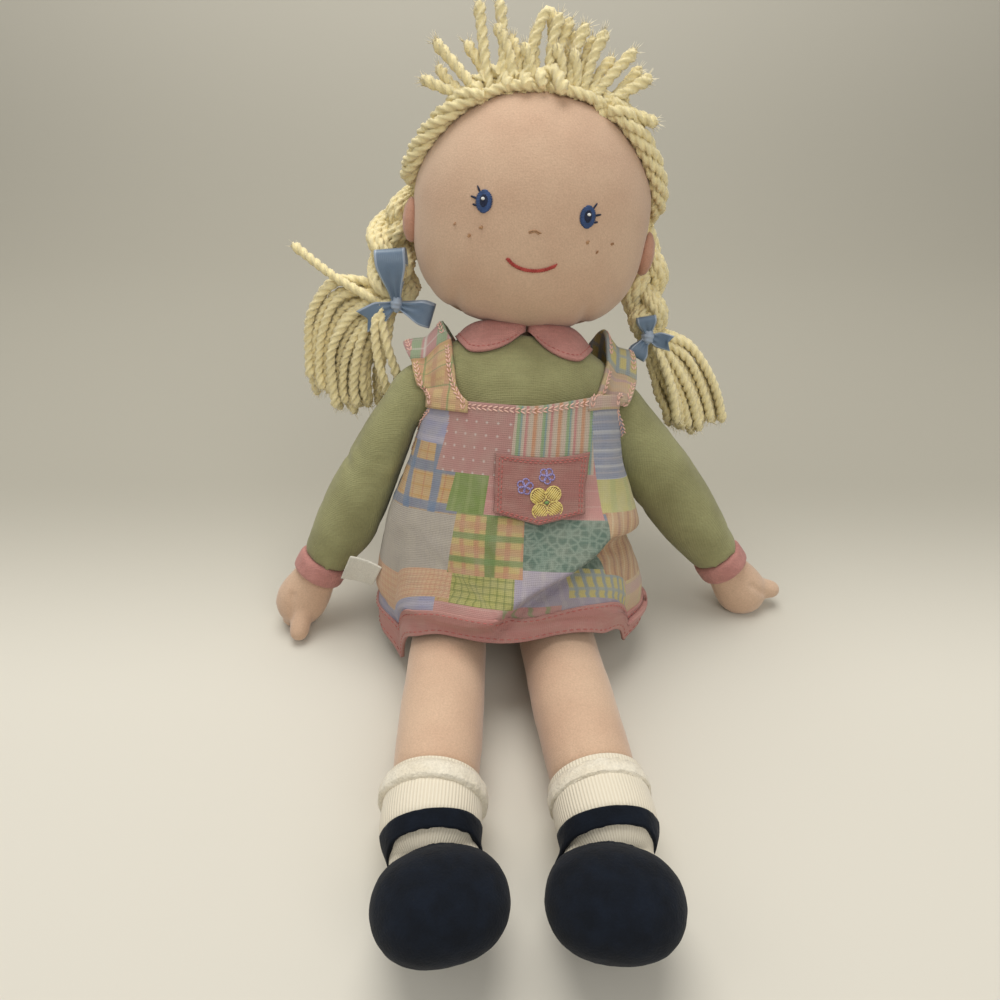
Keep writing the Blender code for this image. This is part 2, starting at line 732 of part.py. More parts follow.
def build_arm(side, arm, torso, floor):
    sign = SIDES[side]
    radius = ARM_DIAMETER / 2
    stations = [(Vector((0, 0, -ARM_LENGTH * along)), radius * share, 1.0) for along, share in ARM_SHARES]
    sleeve = solid(f"arm_{side}", tube(stations, 16, round_ends=(True, False)), arm, "shirt")
    guard = arm_guard(Vector((abs(shoulder(side).x), 0, SHOULDER_HEIGHT)))
    bmesh.ops.scale(guard, vec=(sign, 1, 1), verts=guard.verts)
    cut(sleeve, solid(f"arm_guard_{side}", guard, torso, None))
    start = ARM_LENGTH + GAP
    end = start + CUFF_LENGTH
    cuff_radius = CUFF_DIAMETER / 2
    cuff = []
    for at, share in CUFF_SHARES:
        cuff.append((Vector((0, 0, -(start + CUFF_LENGTH * at))), cuff_radius * share, 1.0))
    solid(f"cuff_{side}", tube(cuff, 16, round_ends=(False, False)), arm, "pink")
    palm = []
    flat = HAND_THICK / HAND_WIDTH
    for at, share in HAND_SHARES:
        palm.append((Vector((0, 0, -(end + GAP + HAND_LENGTH * at))), HAND_WIDTH / 2 * share, flat))
    hand = solid(f"hand_{side}", tube(palm, 14, round_ends=(False, True)), arm, "skin")
    base = Vector((0, 0, -(end + HAND_LENGTH * HAND_SHARES[2][0])))
    out = math.sin(THUMB_ANGLE)
    turn = THUMB_TURN[side]
    way = Vector((sign * out * math.cos(turn), -out * math.sin(turn), -math.cos(THUMB_ANGLE)))
    thumb = []
    for k in range(4):
        taper = 1 - (1 - THUMB_TIP_SHARE) * k / 3
        thumb.append((base + way * THUMB_LENGTH * k / 3, THUMB_DIAMETER / 2 * taper, 1.0))
    combine(hand, "UNION", solid(f"thumb_{side}", tube(thumb, 10), arm, None))
    cut(hand, floor)


# Legs


def foot_ring(row, grow, count):
    along, half, top, bottom = row
    ahead = FOOT_LENGTH * along - HEEL_BACK
    high, low = FOOT_TALL * top + grow, FOOT_TALL * bottom - grow
    wide = FOOT_WIDTH * half + grow
    ring = []
    for k in range(count):
        across, up = oval(2 * math.pi * k / count)
        ring.append(Vector((wide * across, -ahead, (high + low) / 2 + (high - low) / 2 * up)))
    return ring


def foot_form(grow, count=16):
    rings = [foot_ring(row, grow, count) for row in FOOT_SHARES]
    end = FOOT_TALL * FOOT_END_SHARE
    heel = Vector((0, HEEL_BACK + grow, end))
    toe = Vector((0, -(FOOT_LENGTH - HEEL_BACK + grow), end))
    return skin(rings, heel, toe)


def ankle_form(grow, back, foot_frame_turn):
    """The ankle in the foot's own frame: a round end at the ankle and a tube back along the leg."""
    way = foot_frame_turn @ Vector((0, 1, 0))
    radius = ANKLE_DIAMETER / 2 + grow
    stations = [(Vector(), radius, 1.0), (way * back / 2, radius, 1.0), (way * back, radius, 1.0)]
    return tube(stations, 18, round_ends=(True, False))


def topline(shift):
    return [(-(FOOT_LENGTH * a - HEEL_BACK), FOOT_TALL * b + shift) for a, b in SHOE_TOPLINE_SHARES]


def build_leg(side, leg, foot, floor):
    radius = LEG_DIAMETER / 2
    stations = [(Vector((0, -LEG_LENGTH * along, 0)), radius * share, 1.0) for along, share in LEG_SHARES]
    thigh = solid(f"leg_{side}", tube(stations, 18, round_ends=(True, False)), leg, "skin")
    cut(thigh, floor)

    to_foot = foot.matrix_basis.to_3x3().inverted()
    back = ANKLE_REACH - LEG_LENGTH - GAP
    sock = solid(f"sock_{side}", ankle_form(0.0, back, to_foot), foot, "sock")
    combine(sock, "UNION", solid(f"foot_{side}", foot_form(-FELT), foot, None))
    cut(sock, floor)

    ring = []
    half = SOCK_CUFF_DIAMETER / 2
    for at, share in SOCK_CUFF_SHARES:
        ring.append((Vector((0, -(SOCK_CUFF_AT + SOCK_CUFF_LENGTH * at), 0)), half * share, 1.0))
    sock_cuff = solid(f"sock_cuff_{side}", tube(ring, 20, round_ends=(False, False)), leg, "sock")
    bore = LEG_DIAMETER / 2 + GAP
    ends = [SOCK_CUFF_AT - SOCK_CUFF_LENGTH, SOCK_CUFF_AT + 2 * SOCK_CUFF_LENGTH]
    hole = tube([(Vector((0, -y, 0)), bore, 1.0) for y in ends], 20, round_ends=(False, False))
    cut(sock_cuff, solid(f"sock_cuff_bore_{side}", hole, leg, None), floor)

    grown = ankle_form(GAP, 2 * back, to_foot)
    ankle_cutter = solid(f"ankle_cutter_{side}", grown, foot, None)
    foot_cutter = solid(f"foot_cutter_{side}", foot_form(GAP - FELT), foot, None)
    shoe = solid(f"shoe_{side}", foot_form(0.0), foot, "felt")
    opening = solid(f"shoe_opening_{side}", prism(topline(0.0), -OVERRUN, OVERRUN), foot, None)
    cut(shoe, opening, foot_cutter, ankle_cutter, floor)

    wrap = ball(Vector(), ANKLE_DIAMETER / 2 + GAP + FELT, 12, 20)
    strap = solid(f"shoe_strap_{side}", wrap, foot, "felt")
    high = SHOE_STRAP_TOP
    low = high - SHOE_STRAP_WIDE
    band = prism([(-OVERRUN, low), (0, low), (0, high), (-OVERRUN, high)], -OVERRUN, OVERRUN)
    combine(strap, "INTERSECT", solid(f"strap_band_{side}", band, foot, None))
    cut(strap, ankle_cutter, foot_cutter)
    shoe_block = solid(f"shoe_block_{side}", foot_form(GAP), foot, None)
    below = solid(f"shoe_top_{side}", prism(topline(GAP), -OVERRUN, OVERRUN), foot, None)
    cut(shoe_block, below)
    around = [(middle, size + GAP, flat) for middle, size, flat in ring]
    cuff_block = solid(f"cuff_block_{side}", tube(around, 20, round_ends=(False, False)), leg, None)
    cut(strap, shoe_block, cuff_block)


# Dress


def hem_point(angle, world_to_torso):
    """A point of the hem, which lies over both thighs in front and on the floor behind."""
    across, ahead = oval(angle)
    reach = HEM_FRONT if ahead > 0 else HEM_BACK
    middle = -(HIP_SETBACK - HIP_HEIGHT)
    x = HEM_WIDTH / 2 * across
    y = middle - (reach + middle if ahead > 0 else reach - middle) * ahead
    leg = LEG_DIAMETER / 2 + THIGH_CLEAR + CLOTH
    side = "left" if x < 0 else "right"
    thigh = SIDES[side] * HIP_SPREAD / 2 - math.tan(LEG_YAW[side]) * (HIP_SETBACK + y)
    beside = max(0.0, SIDES[side] * (x - thigh))
    drop = leg - math.sqrt(max(0.0, leg**2 - min(beside, leg) ** 2))
    lifted = CLOTH + SINK
    if ahead > HEM_RISE_SHARE and beside < leg:
        lifted = max(lifted, HEM_LIFT - HEM_DROP_SHARE * drop)
    return world_to_torso @ Vector((x, y, lifted))


def dress_point(angle, drop, world_to_torso):
    """A point of the dress's outer face: drop runs 0 to 1 from the neckline to the hem's edge."""
    grow = COVER_GAP + CLOTH
    upper = (BIB_TOP - SKIRT_FROM) / (BIB_TOP + HEM_BAND)
    if drop <= upper:
        height = BIB_TOP - (BIB_TOP - SKIRT_FROM) * drop / upper
        return torso_ring(height, grow, 1, angle)[0]
    t = (drop - upper) / (1 - upper)
    top = torso_ring(SKIRT_FROM, grow, 1, angle)[0]
    bulge = torso_ring(SKIRT_FROM / 2, grow + SKIRT_BULGE, 1, angle)[0]
    hem = hem_point(angle, world_to_torso)
    point = top * (1 - t) ** 2 + bulge * 2 * t * (1 - t) + hem * t**2
    ripple = FOLD_DEPTH * t**2 * (0.5 + 0.5 * math.cos(FOLDS * angle))
    out = Vector((math.sin(angle), -math.cos(angle), 0))
    return point + out * ripple


def side_limit(height):
    """How far round the front panel reaches: to the side seam, or to the armhole's edge above it."""
    share = min(1.0, max(0.0, (height - ARMHOLE) / (ARM_ROOT * ARMHOLE_ROUND_SHARE)))
    share = share * share * (3 - 2 * share)
    return SIDE_ANGLE + (BIB_ANGLE - SIDE_ANGLE) * share


def dress_grid(first, last, rows, columns, back, world_to_torso):
    upper = (BIB_TOP - SKIRT_FROM) / (BIB_TOP + HEM_BAND)
    grid = []
    for r in range(rows):
        drop = first + (last - first) * r / (rows - 1)
        height = BIB_TOP - (BIB_TOP - SKIRT_FROM) * min(1.0, drop / upper)
        limit = side_limit(height)
        line = []
        for c in range(columns):
            angle = limit * (2 * c / (columns - 1) - 1)
            line.append(dress_point(angle + (math.pi if back else 0), drop, world_to_torso))
        grid.append(line)
    return grid


def build_dress(torso, floor, world_to_torso):
    length = BIB_TOP + HEM_BAND
    band = 1 - HEM_BAND / length
    seam = 1.5 * GAP / length
    sockets = [solid(f"armhole_{side}", shoulder_ball(side), torso, None) for side in SIDES]
    for name, back in (("front", False), ("back", True)):
        columns = 17 if back else 21
        rows = 9 if back else 11
        panel = dress_grid(0.0, band - seam, rows, columns, back, world_to_torso)
        panel = solid(f"dress_{name}", thick(panel, CLOTH), torso, "patchwork")
        hem = dress_grid(band + seam, 1.0, 3, columns, back, world_to_torso)
        hem = solid(f"hem_{name}", thick(hem, CLOTH), torso, "pink")
        cut(panel, floor, *sockets)
        cut(hem, floor)


def carriers():
    """What the straps and the collar lie on, as trees to cast rays at."""
    forms = [torso_skin(0.0, TORSO_HEIGHT * TORSO_SHARES[-1][0], 16, 40)]
    forms += [shoulder_ball(side) for side in SIDES]
    trees = []
    for form in forms:
        trees.append(BVHTree.FromBMesh(form))
        form.free()
    return trees


def draped(trees, centre, way, clear):
    """The point that lies a clearance outside the carriers, seen from a centre in some direction."""
    far = max(TORSO_HEIGHT, TORSO_WIDTH)
    best = 0.0
    for tree in trees:
        hit = tree.ray_cast(centre + way * far, -way)
        if hit[0] is not None:
            best = max(best, far - hit[3])
    return centre + way * (best + clear)


def build_straps(torso, trees):
    top = TORSO_HEIGHT * TORSO_SHARES[-1][0]
    under = solid("strap_under", torso_skin(WAIST_SEAM, top, 10, 24, GAP), torso, None)
    rows, columns = 13, 4
    for side, sign in SIDES.items():
        grid = []
        for r in range(rows):
            angle = math.pi * (r / (rows - 1) - 0.5)
            rise = math.cos(angle)
            inner = STRAP_INNER + STRAP_RISE * rise
            line = []
            for c in range(columns):
                x = sign * (inner + STRAP_WIDE * c / (columns - 1))
                centre = Vector((x, 0, BIB_TOP + 2 * GAP))
                way = Vector((0, math.sin(angle), math.cos(angle)))
                line.append(draped(trees, centre, way, COVER_GAP + STRAP_LOFT))
            grid.append(line if sign < 0 else line[::-1])
        strap = solid(f"strap_{side}", thick(grid[::-1], CLOTH), torso, "patchwork")
        cut(strap, under, solid(f"strap_seat_{side}", shoulder_ball(side), torso, None))


def build_collar(torso, under_chin, neck_cutter, trees):
    rows, columns = 4, 10
    centre = Vector((NECK_ACROSS / 2, NECK_BACK * 3 / 4, BIB_TOP))
    for side, sign in SIDES.items():
        grid = []
        for r in range(rows):
            line = []
            for c in range(columns):
                turn = COLLAR_FRONT + (COLLAR_BACK - COLLAR_FRONT) * c / (columns - 1)
                reach = COLLAR_SIDE / max(math.sin(turn), COLLAR_SIDE / COLLAR_REACH)
                spread = min(1.0, COLLAR_TIP_SHARE + COLLAR_SPREAD_SHARE * c / (columns - 1))
                outer = COLLAR_INNER + (reach - COLLAR_INNER) * spread
                radius = COLLAR_INNER + (outer - COLLAR_INNER) * r / (rows - 1)
                way = Vector((sign * math.sin(turn) * radius, -math.cos(turn) * radius, COLLAR_RISE))
                line.append(draped(trees, centre, way.normalized(), 1.5 * GAP + TRIM))
            grid.append(line if sign > 0 else line[::-1])
        collar = solid(f"collar_{side}", thick(grid, TRIM), torso, "pink")
        cut(collar, under_chin, neck_cutter)


def build_pocket(torso, world_to_torso):
    rows, columns = 6, 8
    length = BIB_TOP + HEM_BAND
    grid = []
    for r in range(rows):
        line = []
        for c in range(columns):
            share = 2 * c / (columns - 1) - 1
            down = POCKET_TALL * r / (rows - 1) + POCKET_POINT * (1 - abs(share)) * r / (rows - 1)
            x = POCKET_ACROSS + POCKET_WIDTH / 2 * share
            wide = torso_ring(BIB_TOP - POCKET_DROP - down, CLOTH, 1, math.pi / 2)[0].x
            angle = math.copysign(math.asin(abs(x / wide) ** (ROUNDNESS / 2)), x)
            point = dress_point(angle, (POCKET_DROP + down) / length, world_to_torso)
            out = Vector((math.sin(angle), -math.cos(angle), 0))
            line.append(point + out * (2 * COVER_GAP + CLOTH))
        grid.append(line)
    solid("pocket", thick(grid, CLOTH), torso, "pink")


def build_tag(torso):
    """A blank cloth label that stands out of the left side seam."""
    low = Vector((-TAG_REACH, -TAG_THICK / 2, -TAG_WIDTH / 2))
    high = Vector((0, TAG_THICK / 2, TAG_WIDTH / 2))
    tag = cube(low, high)
    seam = Vector((-(TORSO_WIDTH / 2 + SKIRT_BULGE + COVER_GAP), -TAG_AHEAD, TAG_HEIGHT))
    turn = Matrix.Rotation(TAG_PITCH, 4, "Y") @ Matrix.Rotation(TAG_PITCH, 4, "X")
    bmesh.ops.transform(tag, matrix=Matrix.Translation(seam) @ turn, verts=tag.verts)
    solid("side_tag", tag, torso, "tag")


def main():
    clear_scene()
    world = frame("doll", Matrix.Identity(4))
    hip = Vector((0, -HIP_SETBACK, HIP_HEIGHT))
    torso_pose = Matrix.Translation(hip) @ Matrix.Rotation(-RECLINE, 4, "X") @ Matrix.Rotation(LEAN, 4, "Y")
    torso = frame("torso_frame", torso_pose, world)
    world_to_torso = torso_pose.inverted()
    turning = frame("neck_turn_frame", Matrix.Translation((NECK_ACROSS, NECK_BACK, TORSO_HEIGHT)), torso)
    floor = build_body(torso, turning, world)

    solid("neck", neck_form(0.0), turning, "skin")
    neck_cutter = solid("neck_cutter", neck_form(JOINT_GAP), turning, None)
    upright = torso_pose.to_3x3().inverted().to_4x4()
    tilt = Matrix.Rotation(-HEAD_RECLINE, 4, "X") @ Matrix.Rotation(HEAD_ROLL, 4, "Y")
    nodding = frame("neck_nod_frame", upright @ tilt, turning)
    head = frame("head_frame", Matrix.Translation((0, HEAD_AHEAD, HEAD_LIFT)), nodding)
    build_head(head, neck_cutter)
    for side in SIDES:
        build_braid(side, head)

    for side, sign in SIDES.items():
        turn = Matrix.Rotation(-sign * ARM_SPLAY[side], 4, "Y") @ Matrix.Rotation(ARM_BACK[side], 4, "X")
        arm = frame(f"arm_frame_{side}", Matrix.Translation(shoulder(side)) @ turn, torso)
        build_arm(side, arm, torso, floor)

    for side, sign in SIDES.items():
        at = Matrix.Translation((sign * HIP_SPREAD / 2, -HIP_SETBACK, HIP_HEIGHT))
        turn = Matrix.Rotation(LEG_YAW[side], 4, "Z") @ Matrix.Rotation(-LEG_RISE, 4, "X")
        leg = frame(f"leg_frame_{side}", at @ turn, world)
        bend = Matrix.Rotation(-sign * FOOT_TURN, 4, "Z") @ Matrix.Rotation(-FOOT_RISE, 4, "X")
        foot = frame(f"foot_frame_{side}", Matrix.Translation((0, -ANKLE_REACH, 0)) @ bend, leg)
        build_leg(side, leg, foot, floor)

    build_dress(torso, floor, world_to_torso)
    trees = carriers()
    build_straps(torso, trees)
    under_chin = solid("chin_block", head_form(CHIN_CLEAR), head, None)
    cut(bpy.data.objects["body_chest"], under_chin)
    build_collar(torso, under_chin, neck_cutter, trees)
    build_pocket(torso, world_to_torso)
    build_tag(torso)


main()
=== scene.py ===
import json
import math
import random

import bmesh
import bpy
from mathutils import Matrix, Vector, noise
from mathutils.bvhtree import BVHTree


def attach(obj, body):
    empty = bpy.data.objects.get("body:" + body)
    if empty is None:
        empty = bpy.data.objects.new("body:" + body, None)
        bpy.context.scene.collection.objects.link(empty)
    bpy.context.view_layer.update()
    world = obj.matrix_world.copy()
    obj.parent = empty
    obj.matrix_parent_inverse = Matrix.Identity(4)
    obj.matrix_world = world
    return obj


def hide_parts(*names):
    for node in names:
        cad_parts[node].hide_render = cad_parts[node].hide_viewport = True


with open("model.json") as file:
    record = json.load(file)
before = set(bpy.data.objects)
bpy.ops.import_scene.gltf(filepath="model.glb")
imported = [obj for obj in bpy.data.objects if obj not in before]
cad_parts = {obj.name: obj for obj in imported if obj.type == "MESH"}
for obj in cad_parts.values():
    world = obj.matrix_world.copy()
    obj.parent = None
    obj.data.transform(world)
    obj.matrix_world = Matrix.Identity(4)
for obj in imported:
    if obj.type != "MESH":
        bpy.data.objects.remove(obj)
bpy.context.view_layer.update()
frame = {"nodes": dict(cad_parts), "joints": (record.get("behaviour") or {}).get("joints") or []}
scene = bpy.context.scene
nodes = frame["nodes"]
mm = 0.001
sides = {"left": -1, "right": 1}
print("stage: frame loaded,", len(nodes), "nodes")


# Joints give the doll's own axes: across, back and up, in the torso and in the head
joints = {joint["name"]: joint for joint in frame["joints"]}


def jointPlace(name):
    return Vector(joints[name]["pos_m"])


def jointAxis(name):
    return Vector(joints[name]["axis"]).normalized()


def axesFrame(origin, across, up):
    matrix = Matrix((across, up.cross(across), up)).transposed().to_4x4()
    matrix.translation = origin
    return matrix


pose = {"headAhead": 2.5, "headLift": 55, "hipHeight": 19.5, "hipSetback": 30}
hips = (jointPlace("hip_left") + jointPlace("hip_right")) / 2
torsoFrame = axesFrame(hips, jointAxis("shoulder_left"), jointAxis("neck_turn"))
toTorso = torsoFrame.inverted()
headUp = jointAxis("neck_nod").cross(jointAxis("braid_left_swing"))
headFrame = axesFrame(jointPlace("neck_nod"), jointAxis("neck_nod"), headUp)
headFrame.translation = headFrame @ Vector((0, pose["headAhead"] * mm, pose["headLift"] * mm))


# Points in mm and ways in the torso's and the head's own frames
def inTorso(point):
    return torsoFrame @ (point * mm)


def torsoWay(*way):
    return torsoFrame.to_3x3() @ Vector(way)


def inHead(point):
    return headFrame @ (Vector(point) * mm)


def headLocal(point):
    return headFrame.inverted() @ point / mm


# Camera at the photograph's angle, looking down by some degrees from close to the doll
shot = {"sensor": 36, "lens": 27.07, "place": (0, -0.303, 0.286), "down": 36}
cameraData = bpy.data.cameras.new("camera")
cameraData.sensor_width = shot["sensor"]
cameraData.lens = shot["lens"]
cameraData.clip_start = 0.01
camera = bpy.data.objects.new("camera", cameraData)
camera.location = shot["place"]
camera.rotation_euler = (math.radians(90 - shot["down"]), 0, 0)
scene.collection.objects.link(camera)
scene.camera = camera
scene.view_settings.view_transform = "Standard"


# Small tools for meshes


def makePiece(name, bm, *materials):
    mesh = bpy.data.meshes.new(name)
    bm.to_mesh(mesh)
    bm.free()
    mesh.shade_smooth()
    for item in materials:
        mesh.materials.append(item)
    piece = bpy.data.objects.new(name, mesh)
    scene.collection.objects.link(piece)
    return piece


def applyModifiers(piece):
    depsgraph = bpy.context.evaluated_depsgraph_get()
    mesh = bpy.data.meshes.new_from_object(piece.evaluated_get(depsgraph))
    piece.modifiers.clear()
    old, piece.data = piece.data, mesh
    bpy.data.meshes.remove(old)
    mesh.shade_smooth()


def finish(piece, body, slot, *replaced):
    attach(piece, body)
    if replaced:
        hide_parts(*replaced)
    return piece


def eased(table, share):
    rows = sorted(table)
    if share <= rows[0][0]:
        return rows[0][1:]
    if share >= rows[-1][0]:
        return rows[-1][1:]
    at = max(i for i, row in enumerate(rows) if row[0] <= share)
    near = [rows[max(0, min(len(rows) - 1, at + k))] for k in (-1, 0, 1, 2)]
    span = near[2][0] - near[1][0]
    t = (share - near[1][0]) / span
    result = []
    for k in range(1, len(rows[0])):
        slopes = [(b[k] - a[k]) / (b[0] - a[0]) * span for a, b in ((near[0], near[2]), (near[1], near[3]))]
        value = (2 * t**3 - 3 * t**2 + 1) * near[1][k] + (t**3 - 2 * t**2 + t) * slopes[0]
        result.append(value + (3 * t**2 - 2 * t**3) * near[2][k] + (t**3 - t**2) * slopes[1])
    return tuple(result)


def smoothStep(low, high, value):
    t = min(1.0, max(0.0, (value - low) / (high - low)))
    return t * t * (3 - 2 * t)


def modified(piece, kind, **settings):
    step = piece.modifiers.new(kind, kind)
    for name, value in settings.items():
        setattr(step, name, value)
    applyModifiers(piece)


def setAttribute(mesh, name, values):
    mesh.attributes.new(name, "FLOAT", "POINT").data.foreach_set("value", values)


# A limb or other stuffed CAD form as an even soft skin
def softCopy(name, node, voxel, passes, material):
    bm = bmesh.new()
    bm.from_mesh(nodes[node].data)
    bmesh.ops.remove_doubles(bm, verts=bm.verts, dist=0.01 * mm)
    piece = makePiece(name, bm, material)
    modified(piece, "REMESH", mode="VOXEL", voxel_size=voxel * mm)
    modified(piece, "SMOOTH", factor=0.5, iterations=passes)
    return piece


# Air pressure in a skin that is looser than its form by a share gives a stuffed limb its fullness and its
# puckers, and no vertex moves by more than cap mm
stuffing = {"steps": 20, "quality": 6, "mass": 0.15, "stretch": 12, "bend": 0.6, "air": 4, "pressure": 4}


def stuffed(piece, loose, cap):
    before = [vertex.co.copy() for vertex in piece.data.vertices]
    cloth = piece.modifiers.new("Cloth", "CLOTH")
    settings = cloth.settings
    settings.quality = stuffing["quality"]
    settings.mass = stuffing["mass"]
    settings.tension_stiffness = settings.compression_stiffness = stuffing["stretch"]
    settings.bending_stiffness = stuffing["bend"]
    settings.air_damping = stuffing["air"]
    settings.use_pressure = True
    settings.uniform_pressure_force = stuffing["pressure"]
    settings.shrink_min = -loose
    settings.effector_weights.gravity = 0
    cloth.collision_settings.use_collision = False
    cloth.point_cache.frame_start = 1
    cloth.point_cache.frame_end = stuffing["steps"]
    for step in range(1, stuffing["steps"] + 1):
        scene.frame_set(step)
        bpy.context.view_layer.update()
    applyModifiers(piece)
    scene.frame_set(1)
    for vertex, start in zip(piece.data.vertices, before):
        move = vertex.co - start
        if move.length > cap * mm:
            move *= cap * mm / move.length
        vertex.co = start + move


def treeOf(piece):
    bm = bmesh.new()
    bm.from_mesh(piece.data)
    tree = BVHTree.FromBMesh(bm)
    bm.free()
    return tree


# A sheet from a flat grid: place gives a point in metres and its cloth position in mm for shares 0 to 1
def sheetPiece(name, columns, rows, place, depth, materials, pick=None, isFlipped=False):
    bm = bmesh.new()
    layer = bm.loops.layers.uv.new("cloth")
    bmesh.ops.create_grid(bm, x_segments=columns, y_segments=rows, size=1)
    bm.verts.ensure_lookup_table()
    flat = {}
    for vertex in bm.verts:
        across, down = (vertex.co.x + 1) / 2, (1 - vertex.co.y) / 2
        vertex.co, flat[vertex] = place(1 - across if isFlipped else across, down)
    for face in bm.faces:
        for loop in face.loops:
            loop[layer].uv = flat[loop.vert][:2]
        if pick:
            face.material_index = pick([flat[vertex] for vertex in face.verts])
    piece = makePiece(name, bm, *materials)
    modified(piece, "SOLIDIFY", thickness=depth * mm, offset=-1, use_even_offset=False)
    return piece


# Presses a dent or crease into a skin: moves each vertex by depth along its normal
def pressed(piece, depthAt):
    mesh = piece.data
    normals = [vertex.normal.copy() for vertex in mesh.vertices]
    for vertex, normal in zip(mesh.vertices, normals):
        vertex.co -= normal * depthAt(vertex.co) * mm


def nearSegment(point, start, end):
    way = end - start
    t = min(1.0, max(0.0, (point - start).dot(way) / max(way.length_squared, 1e-12)))
    return (point - start - way * t).length, t


# Small tools for materials


def toLinear(hexText):
    values = [int(hexText[k : k + 2], 16) / 255 for k in (1, 3, 5)]
    return tuple(v / 12.92 if v <= 0.04045 else ((v + 0.055) / 1.055) ** 2.4 for v in values) + (1.0,)


def addNode(tree, kind, inputs=None, **settings):
    node = tree.nodes.new("ShaderNode" + kind)
    for name, value in settings.items():
        setattr(node, name, value)
    for socket, value in (inputs or {}).items():
        if isinstance(value, bpy.types.NodeSocket):
            tree.links.new(value, node.inputs[socket])
        else:
            node.inputs[socket].default_value = value
    return node


def startMaterial(name, roughness, sheen):
    made = bpy.data.materials.new(name)
    made.use_nodes = True
    tree = made.node_tree
    shader = tree.nodes["Principled BSDF"]
    shader.inputs["Roughness"].default_value = roughness
    shader.inputs["Sheen Weight"].default_value = sheen
    shader.inputs["Sheen Roughness"].default_value = 0.5
    shader.inputs["IOR"].default_value = 1.5
    shader.inputs["Specular IOR Level"].default_value = 0.25
    return made, tree, shader


def calc(tree, operation, *values):
    return addNode(tree, "Math", dict(enumerate(values)), operation=operation).outputs[0]


def calcVector(tree, operation, *values):
    return addNode(tree, "VectorMath", dict(enumerate(values)), operation=operation).outputs[0]


def ranged(tree, value, *limits, **settings):
    return addNode(tree, "MapRange", dict(enumerate((value, *limits))), **settings).outputs[0]


def mixed(tree, share, first, second):
    first, second = (toLinear(ink) if isinstance(ink, str) else ink for ink in (first, second))
    return addNode(tree, "Mix", {0: share, 6: first, 7: second}, data_type="RGBA").outputs[2]


def cloudy(tree, place, scale, detail):
    return addNode(tree, "TexNoise", {"Vector": place, "Scale": scale, "Detail": detail}).outputs[0]


waveLength = 0.314


# Threads that lie pitch mm apart, drawn by the wave texture, whose own waves are a waveLength apart
def woven(tree, place, pitch, axis, **more):
    inputs = {"Vector": place, "Scale": waveLength / pitch, **more}
    return addNode(tree, "TexWave", inputs, bands_direction=axis).outputs["Fac"]


def millimetres(tree):
    return calcVector(tree, "MULTIPLY", addNode(tree, "TexCoord").outputs["Object"], (1000, 1000, 1000))


def attributeOf(tree, name):
    return addNode(tree, "Attribute", attribute_name=name).outputs["Fac"]


def surface(tree, shader, colour, height, depth, fine=None):
    if fine:
        colour = addNode(tree, "VectorMath", {0: colour, 3: fine}, operation="SCALE").outputs[0]
    bump = addNode(tree, "Bump", {"Height": height, "Distance": depth * mm, "Strength": 1.0})
    tree.links.new(colour, shader.inputs["Base Color"])
    tree.links.new(bump.outputs[0], shader.inputs["Normal"])


# Cloth on object coordinates: threads each way, soft blotches, and a nap of short fibres.
# Every length is in millimetres, so the coordinates are multiplied to match.
def clothMaterial(name, colour, shade, pitch=0.9, weave=0.35, nap=0.4, blotch=26, roughness=0.9,
                  sheen=0.25, slub=0.0, napSize=0.7, depth=0.25):
    made, tree, shader = startMaterial(name, roughness, sheen)
    place = millimetres(tree)
    tint = mixed(tree, ranged(tree, cloudy(tree, place, 1 / blotch, 4.0), 0.35, 0.7), colour, shade)
    fibres = cloudy(tree, place, 1 / napSize, 3.0)
    height = calc(tree, "MULTIPLY", fibres, nap)
    for axis in "XYZ" if weave else "":
        wave = woven(tree, place, pitch, axis, Distortion=0.6, Detail=1.0)
        height = calc(tree, "MULTIPLY_ADD", wave, weave, height)
    fine = ranged(tree, fibres, 0.3, 0.7, 0.90, 1.06)
    if slub:
        streaks = cloudy(tree, calcVector(tree, "MULTIPLY", place, (0.06, 0.9, 0.9)), 0.8, 2.0)
        fine = calc(tree, "MULTIPLY", fine, ranged(tree, streaks, 0.35, 0.65, 1 - slub, 1 + slub))
    surface(tree, shader, tint, height, depth, fine)
    return made


# Brushed cotton jersey: matte and powdery, with a fine nap that catches light at the edges
skinCloth = clothMaterial("brushedCottonJersey", "#D0B195", "#C5A388", pitch=0.9, weave=0.03, nap=0.5,
                          blotch=30, sheen=0.3)
# The same jersey dyed orange-peach, for the ears
earCloth = clothMaterial("orangeCottonJersey", "#C0917A", "#A97E66", weave=0.10, nap=0.5, sheen=0.3)
# Sage plain-weave cotton: slightly uneven threads show as faint streaks across the sleeve
shirtCloth = clothMaterial("sagePlainWeaveCotton", "#9A986C", "#86835A", pitch=0.8, weave=0.25, nap=0.25,
                           blotch=22, sheen=0.15, slub=0.03)
# Pink cotton poplin: tight weave, a little crisper than the jersey
pinkCloth = clothMaterial("pinkCottonPoplin", "#C38C82", "#B07A72", pitch=0.8, weave=0.25, nap=0.3,
                          blotch=14, sheen=0.15, slub=0.05)
# Wool-like felt: no threads, matted fibres that swallow light
feltCloth = clothMaterial("navyFelt", "#0C1119", "#111823", weave=0.0, nap=1.0, blotch=6, roughness=1.0,
                          sheen=0.04, napSize=0.9, depth=0.25)
# Terry knit: small upright loops, seen as an even crumb
terryCloth = clothMaterial("ivoryTerryKnit", "#E9E1CE", "#DCD1B9", weave=0.0, nap=0.8, blotch=9,
                           roughness=0.95, sheen=0.3, napSize=1.0, depth=0.7)


